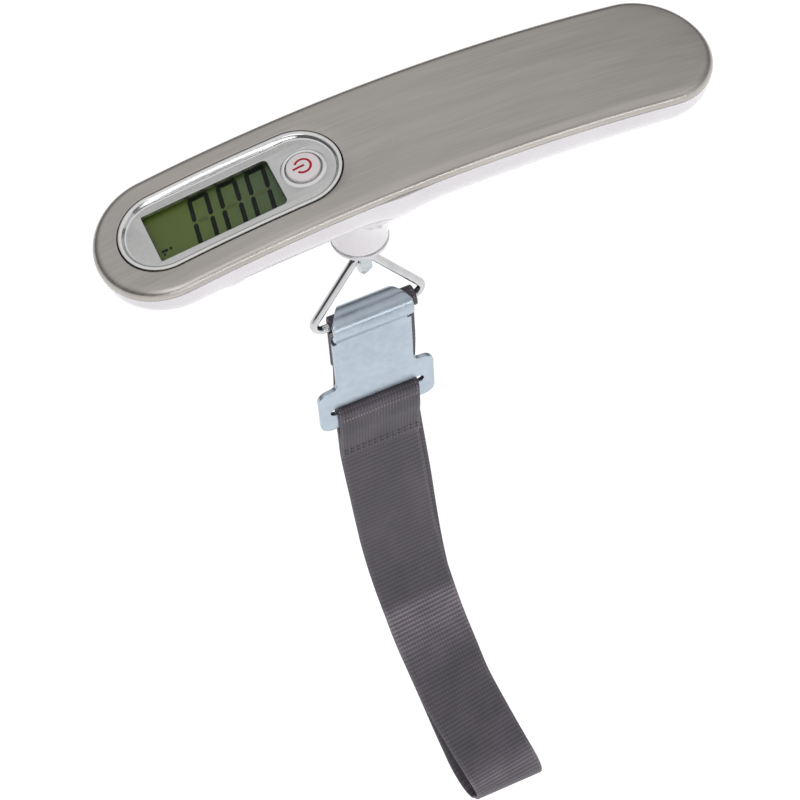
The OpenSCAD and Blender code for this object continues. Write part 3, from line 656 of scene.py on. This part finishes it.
def shell_field(points):
    """Distance-like field of the lower shell's outside: belly and neck in one smooth blend."""
    def belly(p):
        along = ARCH * np.arctan2(p[:, 0], p[:, 2] + ARCH)
        height = np.hypot(p[:, 0], p[:, 2] + ARCH) - ARCH
        middle = np.clip(along, HALF_WIDTH - HALF_LENGTH, HALF_LENGTH - HALF_WIDTH)
        out = np.hypot(along - middle, p[:, 1]) / HALF_WIDTH
        taper = 1 - BELLY_TAPER * (2 * along / HANDLE_LENGTH) ** 2
        deep = np.maximum(0, -SIDE_DEPTH - height) / (BELLY_DEPTH * taper)
        return np.hypot(out, deep) - 1

    level = belly(points)
    distance = level / np.maximum(np.linalg.norm(gradient(belly, points), axis=1), 0.02)
    neck = np.hypot(points[:, 0] - NECK_X, points[:, 1]) - NECK_RADIUS
    ahead = np.clip((points[:, 0] - NECK_X) / 16 + 0.5, 0, 1)
    reach = 7 + 11 * ahead * ahead * (3 - 2 * ahead)
    overlap = np.maximum(reach - np.abs(distance - neck), 0) / reach
    return np.minimum(distance, neck) - overlap * overlap * reach / 4


def gradient(field, points, step=0.02):
    """Gradient of a field at the points, by central differences."""
    parts = []
    for axis in range(3):
        shift = np.zeros(3)
        shift[axis] = step
        parts.append((field(points + shift) - field(points - shift)) / (2 * step))
    return np.stack(parts, 1)


def lower_shell():
    """Moulded shell: the belly and the neck flow together, with the door's and screws' recesses."""
    profile = [(HALF_WIDTH, 3), (0, 3)] + belly_profile(0)
    obj = casing_object("white_lower_shell", profile)
    neck = lathe("neck", [(0, -9), (NECK_RADIUS, -9), (NECK_RADIUS, -43), (0, -43)],
                 Matrix.Translation((NECK_X, 0, 0)))
    blend = obj.modifiers.new("blend", "BOOLEAN")
    blend.operation = "UNION"
    blend.object = neck
    remesh = obj.modifiers.new("remesh", "REMESH")
    remesh.mode = "VOXEL"
    remesh.voxel_size = 0.9 * MM
    apply_modifiers(obj)
    bpy.data.objects.remove(neck)

    count = len(obj.data.vertices)
    flat = np.empty(count * 3)
    obj.data.vertices.foreach_get("co", flat)
    points = flat.reshape(-1, 3) / MM
    height = np.hypot(points[:, 0], points[:, 2] + ARCH) - ARCH
    free = (height < 0) & (points[:, 2] > -40)
    for _ in range(8):
        moving = points[free]
        slope = gradient(shell_field, moving)
        steep = np.maximum((slope * slope).sum(1), 0.05)
        shift = -shell_field(moving) / steep
        points[free] = moving + slope * np.clip(shift, -0.6, 0.6)[:, None]
    obj.data.vertices.foreach_set("co", (points * MM).ravel())
    obj.data.update()

    wall = SHELL_WALL
    hollow = casing_object("cutter", [
        (HALF_WIDTH, 8), (-6, 8), (-6, -COVER_SKIRT - 0.12), (wall, -COVER_SKIRT - 0.12),
    ] + belly_profile(wall))
    neck_place = Matrix.Translation((NECK_X, 0, 0))
    door_place = DISPLAY @ Matrix.Translation((BATTERY_AT, 0, 0))
    cutters = [
        hollow,
        box_cutter((-60, -30, -60), (30, 30, NECK_BOTTOM + 2.1)),
        cylinder_cutter(3.9, -50, -10, neck_place),
        cylinder_cutter(DOOR_RADIUS + 2.5, -30, LAND[0], door_place),
    ]
    for along, y in SCREW_SPOTS:
        spot = on_arch(along) @ Matrix.Translation((0, y, 0))
        cutters.append(cylinder_cutter(2.3, -30, -8.5, spot, 40))
    cut(obj, cutters)
    land = lathe("land", [
        (DOOR_RADIUS + 0.3, LAND[0]), (DOOR_RADIUS + 2.7, LAND[0]),
        (DOOR_RADIUS + 2.7, LAND[1]), (DOOR_RADIUS + 0.3, LAND[1])], door_place)
    posts = []
    for along, y in SCREW_SPOTS:
        spot = on_arch(along) @ Matrix.Translation((0, y, 0))
        posts.append(lathe("post", [(1.25, -8.5), (2.9, -8.5), (2.9, -7), (1.25, -7)], spot, 40))
    join(obj, [land] + posts)
    tidy_mesh(obj)
    sharpen(obj, 35)
    return finish_piece(obj, SHELL, "handle", "shell_plastic", "lower_shell")


# ---- Display ------------------------------------------------------------------

def display_bezel():
    """Bezel: a raised rim that follows the arch, lighter by a painted highlight, and a flat floor with its
    two openings.
    """
    rim = [
        (0.3, BEZEL_UNDER, 0), (0.3, -0.35, 1), (0.38, -0.1, 1), (0.62, 0.0, 1), (1.0, 0.0, 1),
        (1.32, -0.1, 1), (1.5, -0.3, 1), (1.75, BEZEL_FLOOR + 0.35, 0), (1.95, BEZEL_FLOOR + 0.08, 0),
        (2.3, BEZEL_FLOOR, 0), (2.3, BEZEL_UNDER, 0)]
    rings = []
    for inward, height, follows in rim:
        outline = stadium(WINDOW_HALF[0] - inward, WINDOW_HALF[1] - inward)
        outline[:, 0] += WINDOW_MIDDLE
        drop = outline[:, 0] ** 2 / (2 * ARCH)
        level = height + (0.3 - drop if follows else 0 * drop)
        rings.append(np.column_stack([outline, np.maximum(level, BEZEL_UNDER)]))
    faces = grid_faces(len(rings), len(rings[0]), wrap_rows=True)
    edge = mesh_object("bezel_rim", placed(np.concatenate(rings), DISPLAY), faces, 40)
    finish_piece(edge, BEZEL_RIM_PAINTED_HIGHLIGHT, "handle", "bezel_plastic", "display_bezel")

    outline = stadium(WINDOW_HALF[0] - 2.2, WINDOW_HALF[1] - 2.2)
    outline[:, 0] += WINDOW_MIDDLE
    half_l, half_w = LCD_VIEW[0] / 2, LCD_VIEW[1] / 2
    opening = []
    corners = ((1, 1, 1.3, 0), (-1, 1, 0.35, 90), (-1, -1, 0.35, 180), (1, -1, 1.3, 270))
    for sign_x, sign_y, radius, start in corners:
        centre = (LCD_MIDDLE + sign_x * (half_l - radius), sign_y * (half_w - radius))
        opening += arc(centre, radius, start, start + 90, 6)
    hole = arc((BUTTON_AT, 0), BUTTON_RADIUS + 1.5, 0, 360 - 360 / 72, 71)
    middle = DISPLAY @ Matrix.Translation((0, 0, (BEZEL_FLOOR + BEZEL_UNDER) / 2))
    floor = outline_object(
        "bezel_floor", [outline.tolist(), opening, hole], BEZEL_FLOOR - BEZEL_UNDER, 0.1, middle)
    finish_piece(floor, BEZEL, "handle", "bezel_plastic", "display_bezel")

    lip = [
        (BUTTON_RADIUS + 0.35, BEZEL_UNDER), (BUTTON_RADIUS + 0.35, -1.75),
        (BUTTON_RADIUS + 0.45, -1.5), (BUTTON_RADIUS + 0.7, -1.38), (BUTTON_RADIUS + 1.0, -1.4),
        (BUTTON_RADIUS + 1.3, -1.52), (BUTTON_RADIUS + 1.6, -1.68), (BUTTON_RADIUS + 1.6, BEZEL_UNDER)]
    ring = lathe("button_lip", lip, DISPLAY @ Matrix.Translation((BUTTON_AT, 0, 0)), 96)
    finish_piece(ring, BEZEL_RIM_PAINTED_HIGHLIGHT, "handle", "bezel_plastic", "display_bezel")


FIGURE = {"height": 15.2, "width": 5.7, "stroke": 1.2, "gap": 0.16, "slant": 0.155, "pitch": 7.8}


def segment_loops():
    """The seven segments of a figure, as 2D loops from its lower left corner."""
    height, width, stroke, gap = (FIGURE[key] for key in ("height", "width", "stroke", "gap"))
    half = stroke / 2
    middle = height / 2

    def bar(x0, x1, y, cut_low, cut_high):
        """A level bar about height y, whose ends are cut back towards its inner side."""
        low = half if cut_low else 0
        high = half if cut_high else 0
        return [(x0 + low * 2, y - half), (x1 - low * 2, y - half), (x1 - low, y),
                (x1 - high * 2, y + half), (x0 + high * 2, y + half), (x0 + low, y)]

    def post(x, y0, y1):
        return [(x - half, y0 + half), (x, y0), (x + half, y0 + half),
                (x + half, y1 - half), (x, y1), (x - half, y1 - half)]

    left, right = half, width - half
    top = [(gap, height), (width - gap, height), (width - stroke - gap, height - stroke),
           (stroke + gap, height - stroke)]
    bottom = [(stroke + gap, stroke), (width - stroke - gap, stroke), (width - gap, 0), (gap, 0)]
    lit = [
        top, bottom,
        post(left, middle + gap, height - gap - 0.1), post(right, middle + gap, height - gap - 0.1),
        post(left, gap + 0.1, middle - gap), post(right, gap + 0.1, middle - gap)]
    unlit = [bar(half + gap, width - half - gap, middle, True, True)]
    return lit, unlit


def figure_object(name, loops, level, thickness):
    """Flat figures as thin solids on the liquid crystal's face."""
    points, faces = [], []
    for loop in loops:
        start, count = len(points), len(loop)
        points += [(x, y, level) for x, y in loop] + [(x, y, level + thickness) for x, y in loop]
        faces.append(tuple(start + i for i in reversed(range(count))))
        faces.append(tuple(start + count + i for i in range(count)))
        faces += [
            (start + i, start + (i + 1) % count, start + count + (i + 1) % count, start + count + i)
            for i in range(count)]
    return mesh_object(name, placed(points, DISPLAY), faces, 30)


def lcd_figures():
    """Three slanted figures, the unlit bars of the display and a small unit mark."""
    lit, unlit = segment_loops()
    top, first = 8.0, -8.4
    base = top - FIGURE["height"]
    dark, faint = [], []
    for place in range(3):
        left = first + place * FIGURE["pitch"]
        for source, target in ((lit, dark), (unlit, faint)):
            for loop in source:
                target.append([
                    (left + x + (y - FIGURE["height"]) * FIGURE["slant"], base + y) for x, y in loop])
    unit_marks = ((-19.6, -3.9, 1.7, 0.75), (-17.5, -3.9, 0.7, 0.75), (-19.4, -4.9, 0.5, 0.7))
    for left, low, width, height in unit_marks:
        dark.append([(left, low), (left + width, low), (left + width, low + height), (left, low + height)])
    figures = figure_object("display_figures", dark, -3.64, 0.05)
    finish_piece(figures, FIGURES, "handle", "lcd_glass")
    ghosts = figure_object("display_unlit_bars", faint, -3.645, 0.03)
    finish_piece(ghosts, GHOST, "handle", "lcd_glass")


def dome(radius):
    """Height of the button's crown at a radius."""
    return -0.6 - radius * radius / 48.0


def power_button():
    """Domed cap with a rounded edge and a hidden flange, and its power symbol."""
    place = DISPLAY @ Matrix.Translation((BUTTON_AT, 0, 0))
    edge = 0.45
    crown = [(r, dome(r)) for r in np.linspace(0, BUTTON_RADIUS - edge, 10)]
    rounding = arc((BUTTON_RADIUS - edge, dome(BUTTON_RADIUS - edge) - edge), edge, 80, 0, 6)
    profile = crown + rounding + [
        (BUTTON_RADIUS, -3.1), (BUTTON_RADIUS + 0.6, -3.1), (BUTTON_RADIUS + 0.6, -3.4), (0, -3.4)]
    cap = lathe("power_button_cap", profile, place, 96)
    finish_piece(cap, BUTTON, "button", "button_plastic", "power_button")

    stroke, radius, gap = 0.6, 2.05, 36
    rows = []
    for i in range(49):
        turn = math.radians(180 + gap + (360 - 2 * gap) * i / 48)
        for across in (-stroke / 2, stroke / 2):
            rows.append(((radius + across) * math.cos(turn), (radius + across) * math.sin(turn)))
    ring = strip_solid(rows)
    bar = strip_solid([(x, y) for x in np.linspace(-2.75, 0.45, 12) for y in (-stroke / 2, stroke / 2)])
    points = ring[0] + bar[0]
    faces = ring[1] + [tuple(i + len(ring[0]) for i in face) for face in bar[1]]
    symbol = mesh_object("power_symbol", placed(points, place), faces, 30)
    finish_piece(symbol, SYMBOL, "button", "button_plastic")


def strip_solid(pairs):
    """A thin raised strip on the button's crown, from pairs of points across it."""
    lift = 0.05
    rows = len(pairs) // 2
    low = [(x, y, dome(math.hypot(x, y)) - lift) for x, y in pairs]
    high = [(x, y, dome(math.hypot(x, y)) + lift / 2) for x, y in pairs]
    points = []
    for i in range(rows):
        points += [low[2 * i], low[2 * i + 1], high[2 * i + 1], high[2 * i]]
    faces = grid_faces(rows, 4)
    faces.append((0, 1, 2, 3))
    faces.append(tuple(4 * (rows - 1) + i for i in (3, 2, 1, 0)))
    return points, faces


# ---- Pull gear ------------------------------------------------------------------

def neck_ring():
    """Chrome rim of the neck, with a fine groove under its upper edge."""
    outer, low = NECK_RADIUS + 0.2, NECK_BOTTOM
    profile = (
        [(4.1, low + 0.5), (4.2, low + 0.2), (4.6, low)]
        + arc((outer - 0.75, low + 0.75), 0.75, -90, 0, 8)
        + arc((outer - 0.35, low + 1.25), 0.35, 0, 90, 5)
        + [(outer - 0.5, low + 1.62), (outer - 0.5, low + 1.8), (outer - 0.3, low + 2.0), (4.1, low + 2.0)])
    obj = lathe("chrome_neck_ring", profile, Matrix.Translation((NECK_X, 0, 0)), 128)
    return finish_piece(obj, CHROME, "handle", "bright_chrome", "neck_ring")


def tube(name, line, radius, sides=28):
    """A round tube along a closed line in the XZ plane."""
    line = np.asarray(line, float)
    ahead = np.roll(line, -1, axis=0) - line
    ahead /= np.linalg.norm(ahead, axis=1)[:, None]
    forward = ahead + np.roll(ahead, 1, axis=0)
    forward /= np.linalg.norm(forward, axis=1)[:, None]
    across = np.array([0.0, 1.0, 0.0])
    points = []
    for centre, run in zip(line, forward):
        upright = np.cross(run, across)
        for turn in np.linspace(0, 2 * math.pi, sides, endpoint=False):
            points.append(centre + radius * (across * math.cos(turn) + upright * math.sin(turn)))
    return mesh_object(name, points, grid_faces(len(line), sides, wrap_rows=True))


def triangle_ring():
    """Chrome wire bent into a triangle with rounded corners."""
    slope = math.degrees(math.atan(RING_HALF_BASE / (RING_PEAK - BAR_HEIGHT)))
    tangent = RING_CORNER / math.tan(math.radians((90 - slope) / 2))
    corner = (RING_HALF_BASE - tangent, BAR_HEIGHT + RING_CORNER)
    peak = (0, RING_PEAK - RING_CORNER / math.sin(math.radians(slope)))
    bends = [
        arc(corner, RING_CORNER, -90, slope, 14),
        arc(peak, RING_CORNER, slope, 180 - slope, 14),
        arc((-corner[0], corner[1]), RING_CORNER, 180 - slope, 270, 14)]
    line = []
    for i, bent in enumerate(bends):
        line += bent
        start, end = np.array(bent[-1]), np.array(bends[(i + 1) % 3][0])
        line += [tuple(start + (end - start) * t) for t in np.linspace(0, 1, 12)[1:-1]]
    path = [(NECK_X + x, 0, z) for x, z in line]
    obj = tube("chrome_triangle_ring", path, WIRE_RADIUS)
    return finish_piece(obj, CHROME, "ring", "bright_chrome", "triangle_ring")


def catmull(points, steps):
    """A smooth line through points, with a number of steps between each pair."""
    p = np.asarray(points, float)
    last = len(p) - 1
    made = []
    for i in range(last):
        a, b, c, d = p[max(i - 1, 0)], p[i], p[i + 1], p[min(i + 2, last)]
        for t in np.arange(steps) / steps:
            made.append((2 * b + (c - a) * t + (2 * a - 5 * b + 4 * c - d) * t * t
                         + (3 * b - a - 3 * c + d) * t ** 3) / 2)
    made.append(p[last])
    return np.array(made)


def rounded_section(half_width, half_thick, corner, side_steps, corner_steps=3):
    """Corner-rounded rectangle, as (across, through) points."""
    points = []
    for sign_a, sign_t, start in ((1, 1, 0), (-1, 1, 90), (-1, -1, 180), (1, -1, 270)):
        centre = (sign_a * (half_width - corner), sign_t * (half_thick - corner))
        points += arc(centre, corner, start, start + 90, corner_steps)
        if start in (0, 180):
            ends = centre[0], -centre[0]
            level = sign_t * half_thick
            points += [(x, level) for x in np.linspace(ends[0], ends[1], side_steps + 1)[1:-1]]
    return points


def hook_plate():
    """Zinc-plated steel plate with ears, a slot and an upper end rolled into a hook."""
    ear, waist = 3.4, 2.5
    ear_top = SLOT[1] + 9
    top = BAR_HEIGHT - 7.4
    right = (
        arc((EAR_HALF - ear, PLATE_BOTTOM + ear), ear, -90, 0, 10)
        + arc((EAR_HALF - ear, ear_top - ear), ear, 0, 90, 10)
        + [(x, z) for x, z in arc((PLATE_HALF + waist, ear_top + waist), waist, 270, 180, 8)]
        + [(PLATE_HALF, top)])
    outline = right + [(-x, z) for x, z in reversed(right)]
    half, middle = 14.4, (SLOT[0] + SLOT[1]) / 2
    round_end = (SLOT[1] - SLOT[0]) / 2
    slot = (arc((half - round_end, middle), round_end, -90, 90, 12)
            + arc((round_end - half, middle), round_end, 90, 270, 12))
    upright = Matrix.Translation((NECK_X, PLATE_Y, 0)) @ Matrix.Rotation(math.pi / 2, 4, "X")
    plate = outline_object("zinc_hook_plate", [outline, slot], PLATE_THICKNESS, 0.28, upright)

    middle_radius = WIRE_RADIUS + 0.4 + WEBBING_THICKNESS + 0.15 + PLATE_THICKNESS / 2
    line = [(PLATE_Y, BAR_HEIGHT - 8.6), (PLATE_Y, BAR_HEIGHT - 7.4), (PLATE_Y, BAR_HEIGHT - 6.6),
            (PLATE_Y - 0.5, BAR_HEIGHT - 5.4)]
    line += arc((0, BAR_HEIGHT), middle_radius, 214, -10, 20)
    path = catmull([(0, y, z) for y, z in line], 3)
    forward = np.gradient(path, axis=0)
    forward /= np.linalg.norm(forward, axis=1)[:, None]
    rings = []
    for i, (centre, run) in enumerate(zip(path, forward)):
        through = np.cross(run, (1, 0, 0))
        narrow = np.interp(centre[1], (-2.6, 5), (PLATE_HALF, 6.5))
        thick = PLATE_THICKNESS / 2 - (0.02 if i < 3 else 0)
        if i == len(path) - 1:
            narrow, thick = narrow - 0.25, thick - 0.3
        rings.append([
            centre + np.array([a + NECK_X, 0, 0]) + through * t
            for a, t in rounded_section(narrow, thick, min(0.28, thick - 0.02), 24)])
    sides = len(rings[0])
    faces = grid_faces(len(rings), sides)
    faces.append(tuple(reversed(range(sides))))
    faces.append(tuple((len(rings) - 1) * sides + i for i in range(sides)))
    roll = mesh_object("hook_roll", np.concatenate(rings), faces, 45)
    union = plate.modifiers.new("union", "BOOLEAN")
    union.operation = "UNION"
    union.solver = "EXACT"
    union.object = roll
    apply_modifiers(plate)
    bpy.data.objects.remove(roll)
    tidy_mesh(plate)
    sharpen(plate, 45)
    return finish_piece(lean(plate), ZINC, "hanger", "zinc_plate", "hook_plate")


# ---- Webbing ----------------------------------------------------------------------

LOOP_RADIUS = WIRE_RADIUS + 0.4 + WEBBING_THICKNESS / 2
SLOT_WRAP = PLATE_THICKNESS / 2 + 0.2 + WEBBING_THICKNESS / 2
ROUTE = (
    [(1, 2.5, -92), (1, 2.45, -88), (1, 2.4, -82), (1, 2.4, -76), (1, 2.35, -72.5)]
    + [(1, y, z) for y, z in arc((0, BAR_HEIGHT), LOOP_RADIUS, 0, 210, 7)]
    + [(1, -0.2, -73.4), (1, 0.7, -75.4), (1, 0.85, -79), (1, 0.85, -85), (1, 0.95, -92),
       (1, 1.6, -99), (1, 2.4, -106), (1, 2.7, -113), (1.2, 2.8, -121), (1.9, 3.2, -132),
       (2.9, 3.9, -145), (3.9, 3.9, -160), (4.8, 3.7, -175), (5.5, 3.3, -190), (6, 2, -205),
       (6.4, -0.5, -220), (7.2, -4.6, -238), (8.7, -8.6, -254), (10.8, -12.8, -270),
       (13.2, -17.8, -288), (15.4, -22.4, -305)]
    + [(17.2, -25.8, -318), (18.6, -28.8, -327.5), (20.2, -33.2, -333.8),
       (21.6, -38.2, -334.6), (22.2, -42.4, -330.5), (21.9, -44.1, -323.5)]
    + [(20.6, -43, -315.5), (18, -39.8, -304), (14.6, -33.6, -289), (10.6, -26.3, -270),
       (8.4, -20.4, -254), (6.3, -15.2, -238), (4.4, -10.4, -220), (3.1, -6.9, -205),
       (2.1, -4.6, -190), (1.4, -3.2, -175), (0.8, -2, -160), (0.3, -0.7, -147), (0, 0, -137),
       (0, 0.1, -128), (0, 0.5, -121.5), (0, 0.6, -116)]
    + [(0, PLATE_Y + y, z) for y, z in arc((0, SLOT[0]), SLOT_WRAP, 0, 180, 6)]
    + [(0, -2.6, -117), (0, -2.5, -121.5), (0, -1.9, -126), (0, -1.5, -131), (0, -1.4, -137)])


def even_line(points, spacing):
    """A smooth line through points, resampled at an even spacing; also its lengths so far."""
    fine = catmull(points, 24)
    lengths = np.concatenate([[0], np.cumsum(np.linalg.norm(np.diff(fine, axis=0), axis=1))])
    count = int(lengths[-1] / spacing) + 1
    at = np.linspace(0, lengths[-1], count)
    line = np.stack([np.interp(at, lengths, fine[:, axis]) for axis in range(3)], 1)
    return line, at


def strap():
    """The webbing: one ribbed band with thicker woven edges, along its whole route."""
    line, at = even_line(ROUTE, 0.3)
    forward = np.gradient(line, axis=0)
    forward /= np.linalg.norm(forward, axis=1)[:, None]
    level = np.array([1.0, 0, 0]) - forward * forward[:, :1]
    level /= np.linalg.norm(level, axis=1)[:, None]
    through = np.cross(forward, level)
    section = np.array(rounded_section(WEBBING_WIDTH / 2, WEBBING_THICKNESS / 2, 0.42, 26, 3))
    across, depth = section[:, 0], section[:, 1]
    inward = np.clip((WEBBING_WIDTH / 2 - np.abs(across)) / 0.9, 0, 1)
    groove = np.exp(-((np.abs(across) - (WEBBING_WIDTH / 2 - 1.6)) / 0.35) ** 2)
    before_end = at - at[-1]
    rib_share = np.clip((-TAIL_LENGTH - before_end) / 4, 0, 1)
    ribs = 1 - rib_share * (0.5 - 0.5 * np.sin(2 * math.pi * before_end / RIB_PITCH))
    height = 1 - 0.1 * (1 - ribs)[:, None] * inward[None, :] - 0.05 * groove[None, :]
    reach = depth[None, :] * height
    points = (
        line[:, None, :] + level[:, None, :] * across[None, :, None]
        + through[:, None, :] * reach[:, :, None] + np.array([NECK_X, 0, 0]))
    rows, sides = points.shape[:2]
    faces = grid_faces(rows, sides)
    faces.append(tuple(reversed(range(sides))))
    faces.append(tuple((rows - 1) * sides + i for i in range(sides)))
    mesh = bpy.data.meshes.new("webbing_strap")
    mesh.from_pydata((points.reshape(-1, 3) * MM).tolist(), [], faces)
    layer = mesh.uv_layers.new(name="weave")
    loops = np.empty(len(mesh.loops), dtype=np.int64)
    mesh.loops.foreach_get("vertex_index", loops)
    column, row = loops % sides, loops // sides
    layer.data.foreach_set("uv", np.column_stack([across[column], before_end[row]]).ravel())
    mesh.polygons.foreach_set("use_smooth", [True] * len(mesh.polygons))
    obj = bpy.data.objects.new("webbing_strap", mesh)
    bpy.context.scene.collection.objects.link(obj)
    work = bmesh.new()
    work.from_mesh(mesh)
    bmesh.ops.recalc_face_normals(work, faces=work.faces)
    work.to_mesh(mesh)
    work.free()
    finish_piece(lean(obj), WEBBING, "hanger", "webbing", "strap")
    return obj, float(at[-1])


def stitch(points, faces, centre, across, outward, length, width, height):
    """Adds one rounded stitch, a small arched bead lying on the webbing."""
    start = len(points)
    stations = 7
    sides = 8
    along = np.cross(outward, across)
    for i in range(stations):
        t = -1 + 2 * i / (stations - 1)
        swell = math.sqrt(max(0.05, 1 - t * t))
        for turn in np.linspace(0, 2 * math.pi, sides, endpoint=False):
            points.append(
                centre + across * (t * length / 2)
                + along * (swell * width / 2 * math.cos(turn))
                + outward * (swell * height * math.sin(turn)))
    faces += [tuple(start + i for i in face) for face in grid_faces(stations, sides)]
    faces.append(tuple(start + i for i in reversed(range(sides))))
    faces.append(tuple(start + (stations - 1) * sides + i for i in range(sides)))


def stitching():
    """Rows of thread: under the slot's fold, above the tail's end, and on the rear seam."""
    across = np.array([1.0, 0, 0])
    upright = np.array([0, 0, 1.0])
    light, dark = ([], []), ([], [])
    pitch = (WEBBING_WIDTH - 2.4) / 25
    for i in range(26):
        centre = np.array([NECK_X + (i - 12.5) * pitch, -3.29, -114.6])
        stitch(*light, centre, upright, np.array([0, -1.0, 0]), 0.85, 0.42, 0.14)
    pitch = (WEBBING_WIDTH - 2.4) / 12
    for z, y, side in ((-133.0, -2.12, -1), (-134.8, -2.1, -1), (-86.0, 3.1, 1), (-89.0, 3.12, 1)):
        for i in range(13):
            centre = np.array([NECK_X + max(side, 0) + (i - 6) * pitch, y, z])
            stitch(*dark, centre, across, np.array([0, float(side), 0]), pitch * 0.62, 0.45, 0.16)
    fold = lean(mesh_object("strap_fold_thread", *light))
    finish_piece(fold, LIGHT_THREAD, "hanger", "thread")
    seams = lean(mesh_object("strap_thread", *dark))
    finish_piece(seams, THREAD, "hanger", "thread", "strap_stitching")


# ---- Stage ------------------------------------------------------------------------

def camera():
    """The photograph's view: azimuth, elevation and roll in degrees, the rest in millimetres."""
    azimuth, elevation, roll = math.radians(19.0), math.radians(55.5), math.radians(6.0)
    distance, shift_x, shift_y, lens = 606.7, -1.5, -68.7, 109.9
    back = np.array([
        -math.sin(azimuth) * math.cos(elevation), -math.cos(azimuth) * math.cos(elevation),
        math.sin(elevation)])
    right = np.array([math.cos(azimuth), -math.sin(azimuth), 0])
    up = np.cross(right, -back)
    rolled_right = right * math.cos(roll) - up * math.sin(roll)
    rolled_up = right * math.sin(roll) + up * math.cos(roll)
    place = (back * distance + rolled_right * shift_x + rolled_up * shift_y) * MM
    data = bpy.data.cameras.new("camera")
    data.lens = lens
    data.sensor_width = 36
    data.clip_start = 0.01
    obj = bpy.data.objects.new("camera", data)
    obj.matrix_world = Matrix((
        (rolled_right[0], rolled_up[0], back[0], place[0]),
        (rolled_right[1], rolled_up[1], back[1], place[1]),
        (rolled_right[2], rolled_up[2], back[2], place[2]),
        (0, 0, 0, 1)))
    bpy.context.scene.collection.objects.link(obj)
    bpy.context.scene.camera = obj


def area_light(name, place, target, size, power, colour=(1, 1, 1)):
    """A soft rectangular light at a place, aimed at a target; lengths in metres, power in watts."""
    data = bpy.data.lights.new(name, "AREA")
    data.shape = "RECTANGLE"
    data.size, data.size_y = size
    data.energy = power
    data.color = colour
    obj = bpy.data.objects.new(name, data)
    obj.location = place
    aim = Vector(target) - Vector(place)
    obj.rotation_euler = aim.to_track_quat("-Z", "Y").to_euler()
    bpy.context.scene.collection.objects.link(obj)


def stage():
    """Plain pale floor, soft studio lights and a pale surround."""
    low = cad_box[0][2] - 0.25
    size = 4.0
    mesh = bpy.data.meshes.new("floor")
    mesh.from_pydata([(-size, -size, low), (size, -size, low), (size, size, low), (-size, size, low)],
                     [], [(0, 1, 2, 3)])
    floor = bpy.data.objects.new("floor", mesh)
    bpy.context.scene.collection.objects.link(floor)
    made, tree, shader = new_material("pale_floor")
    clouds = noise(tree, (3, 3, 3), 2.0)
    tree.links.new(ramp(tree, clouds, [(0.3, (0.93, 0.93, 0.93)), (0.7, (0.95, 0.95, 0.95))]),
                   shader.inputs["Base Color"])
    shader.inputs["Roughness"].default_value = 0.9
    shader.inputs["Emission Color"].default_value = (1, 1, 1, 1)
    shader.inputs["Emission Strength"].default_value = 0.42
    mesh.materials.append(made)

    world = bpy.data.worlds.new("studio")
    bpy.context.scene.world = world
    world.use_nodes = True
    tree = world.node_tree
    background = tree.nodes["Background"]
    source = tree.nodes.new("ShaderNodeTexCoord")
    split = tree.nodes.new("ShaderNodeSeparateXYZ")
    tree.links.new(source.outputs["Generated"], split.inputs[0])
    height = spread(tree, split.outputs["Z"], 0.0, 1.0, (-1.0, 1.0))
    colour = ramp(tree, height, [
        (0.0, (0.8, 0.8, 0.8)), (0.46, (0.7, 0.7, 0.7)), (0.48, (0.08, 0.08, 0.085)),
        (0.6, (0.12, 0.12, 0.125)), (0.72, (0.5, 0.5, 0.51)), (0.88, (0.9, 0.9, 0.9)),
        (1.0, (0.95, 0.95, 0.95))])
    tree.links.new(colour, background.inputs["Color"])
    background.inputs["Strength"].default_value = 0.85

    area_light("key", (-0.5, -0.9, 0.7), (0, 0, -0.1), (0.9, 0.7), 2.6)
    area_light("fill", (0.9, -0.5, 0.3), (0, 0, -0.15), (0.8, 0.8), 0.9)
    area_light("strip", (0.05, -0.55, 0.02), (0, 0, -0.02), (0.9, 0.08), 0.8)
    bpy.context.scene.view_settings.view_transform = "Standard"


# ---- Assembly -----------------------------------------------------------------------

camera()
for node, made in CAD_MATERIALS.items():
    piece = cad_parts[node]
    piece.data.materials.clear()
    piece.data.materials.append(made)
top_cover()
lower_shell()
display_bezel()
lcd_figures()
power_button()
neck_ring()
triangle_ring()
hook_plate()
webbing, webbing_length = strap()
stitching()
stage()
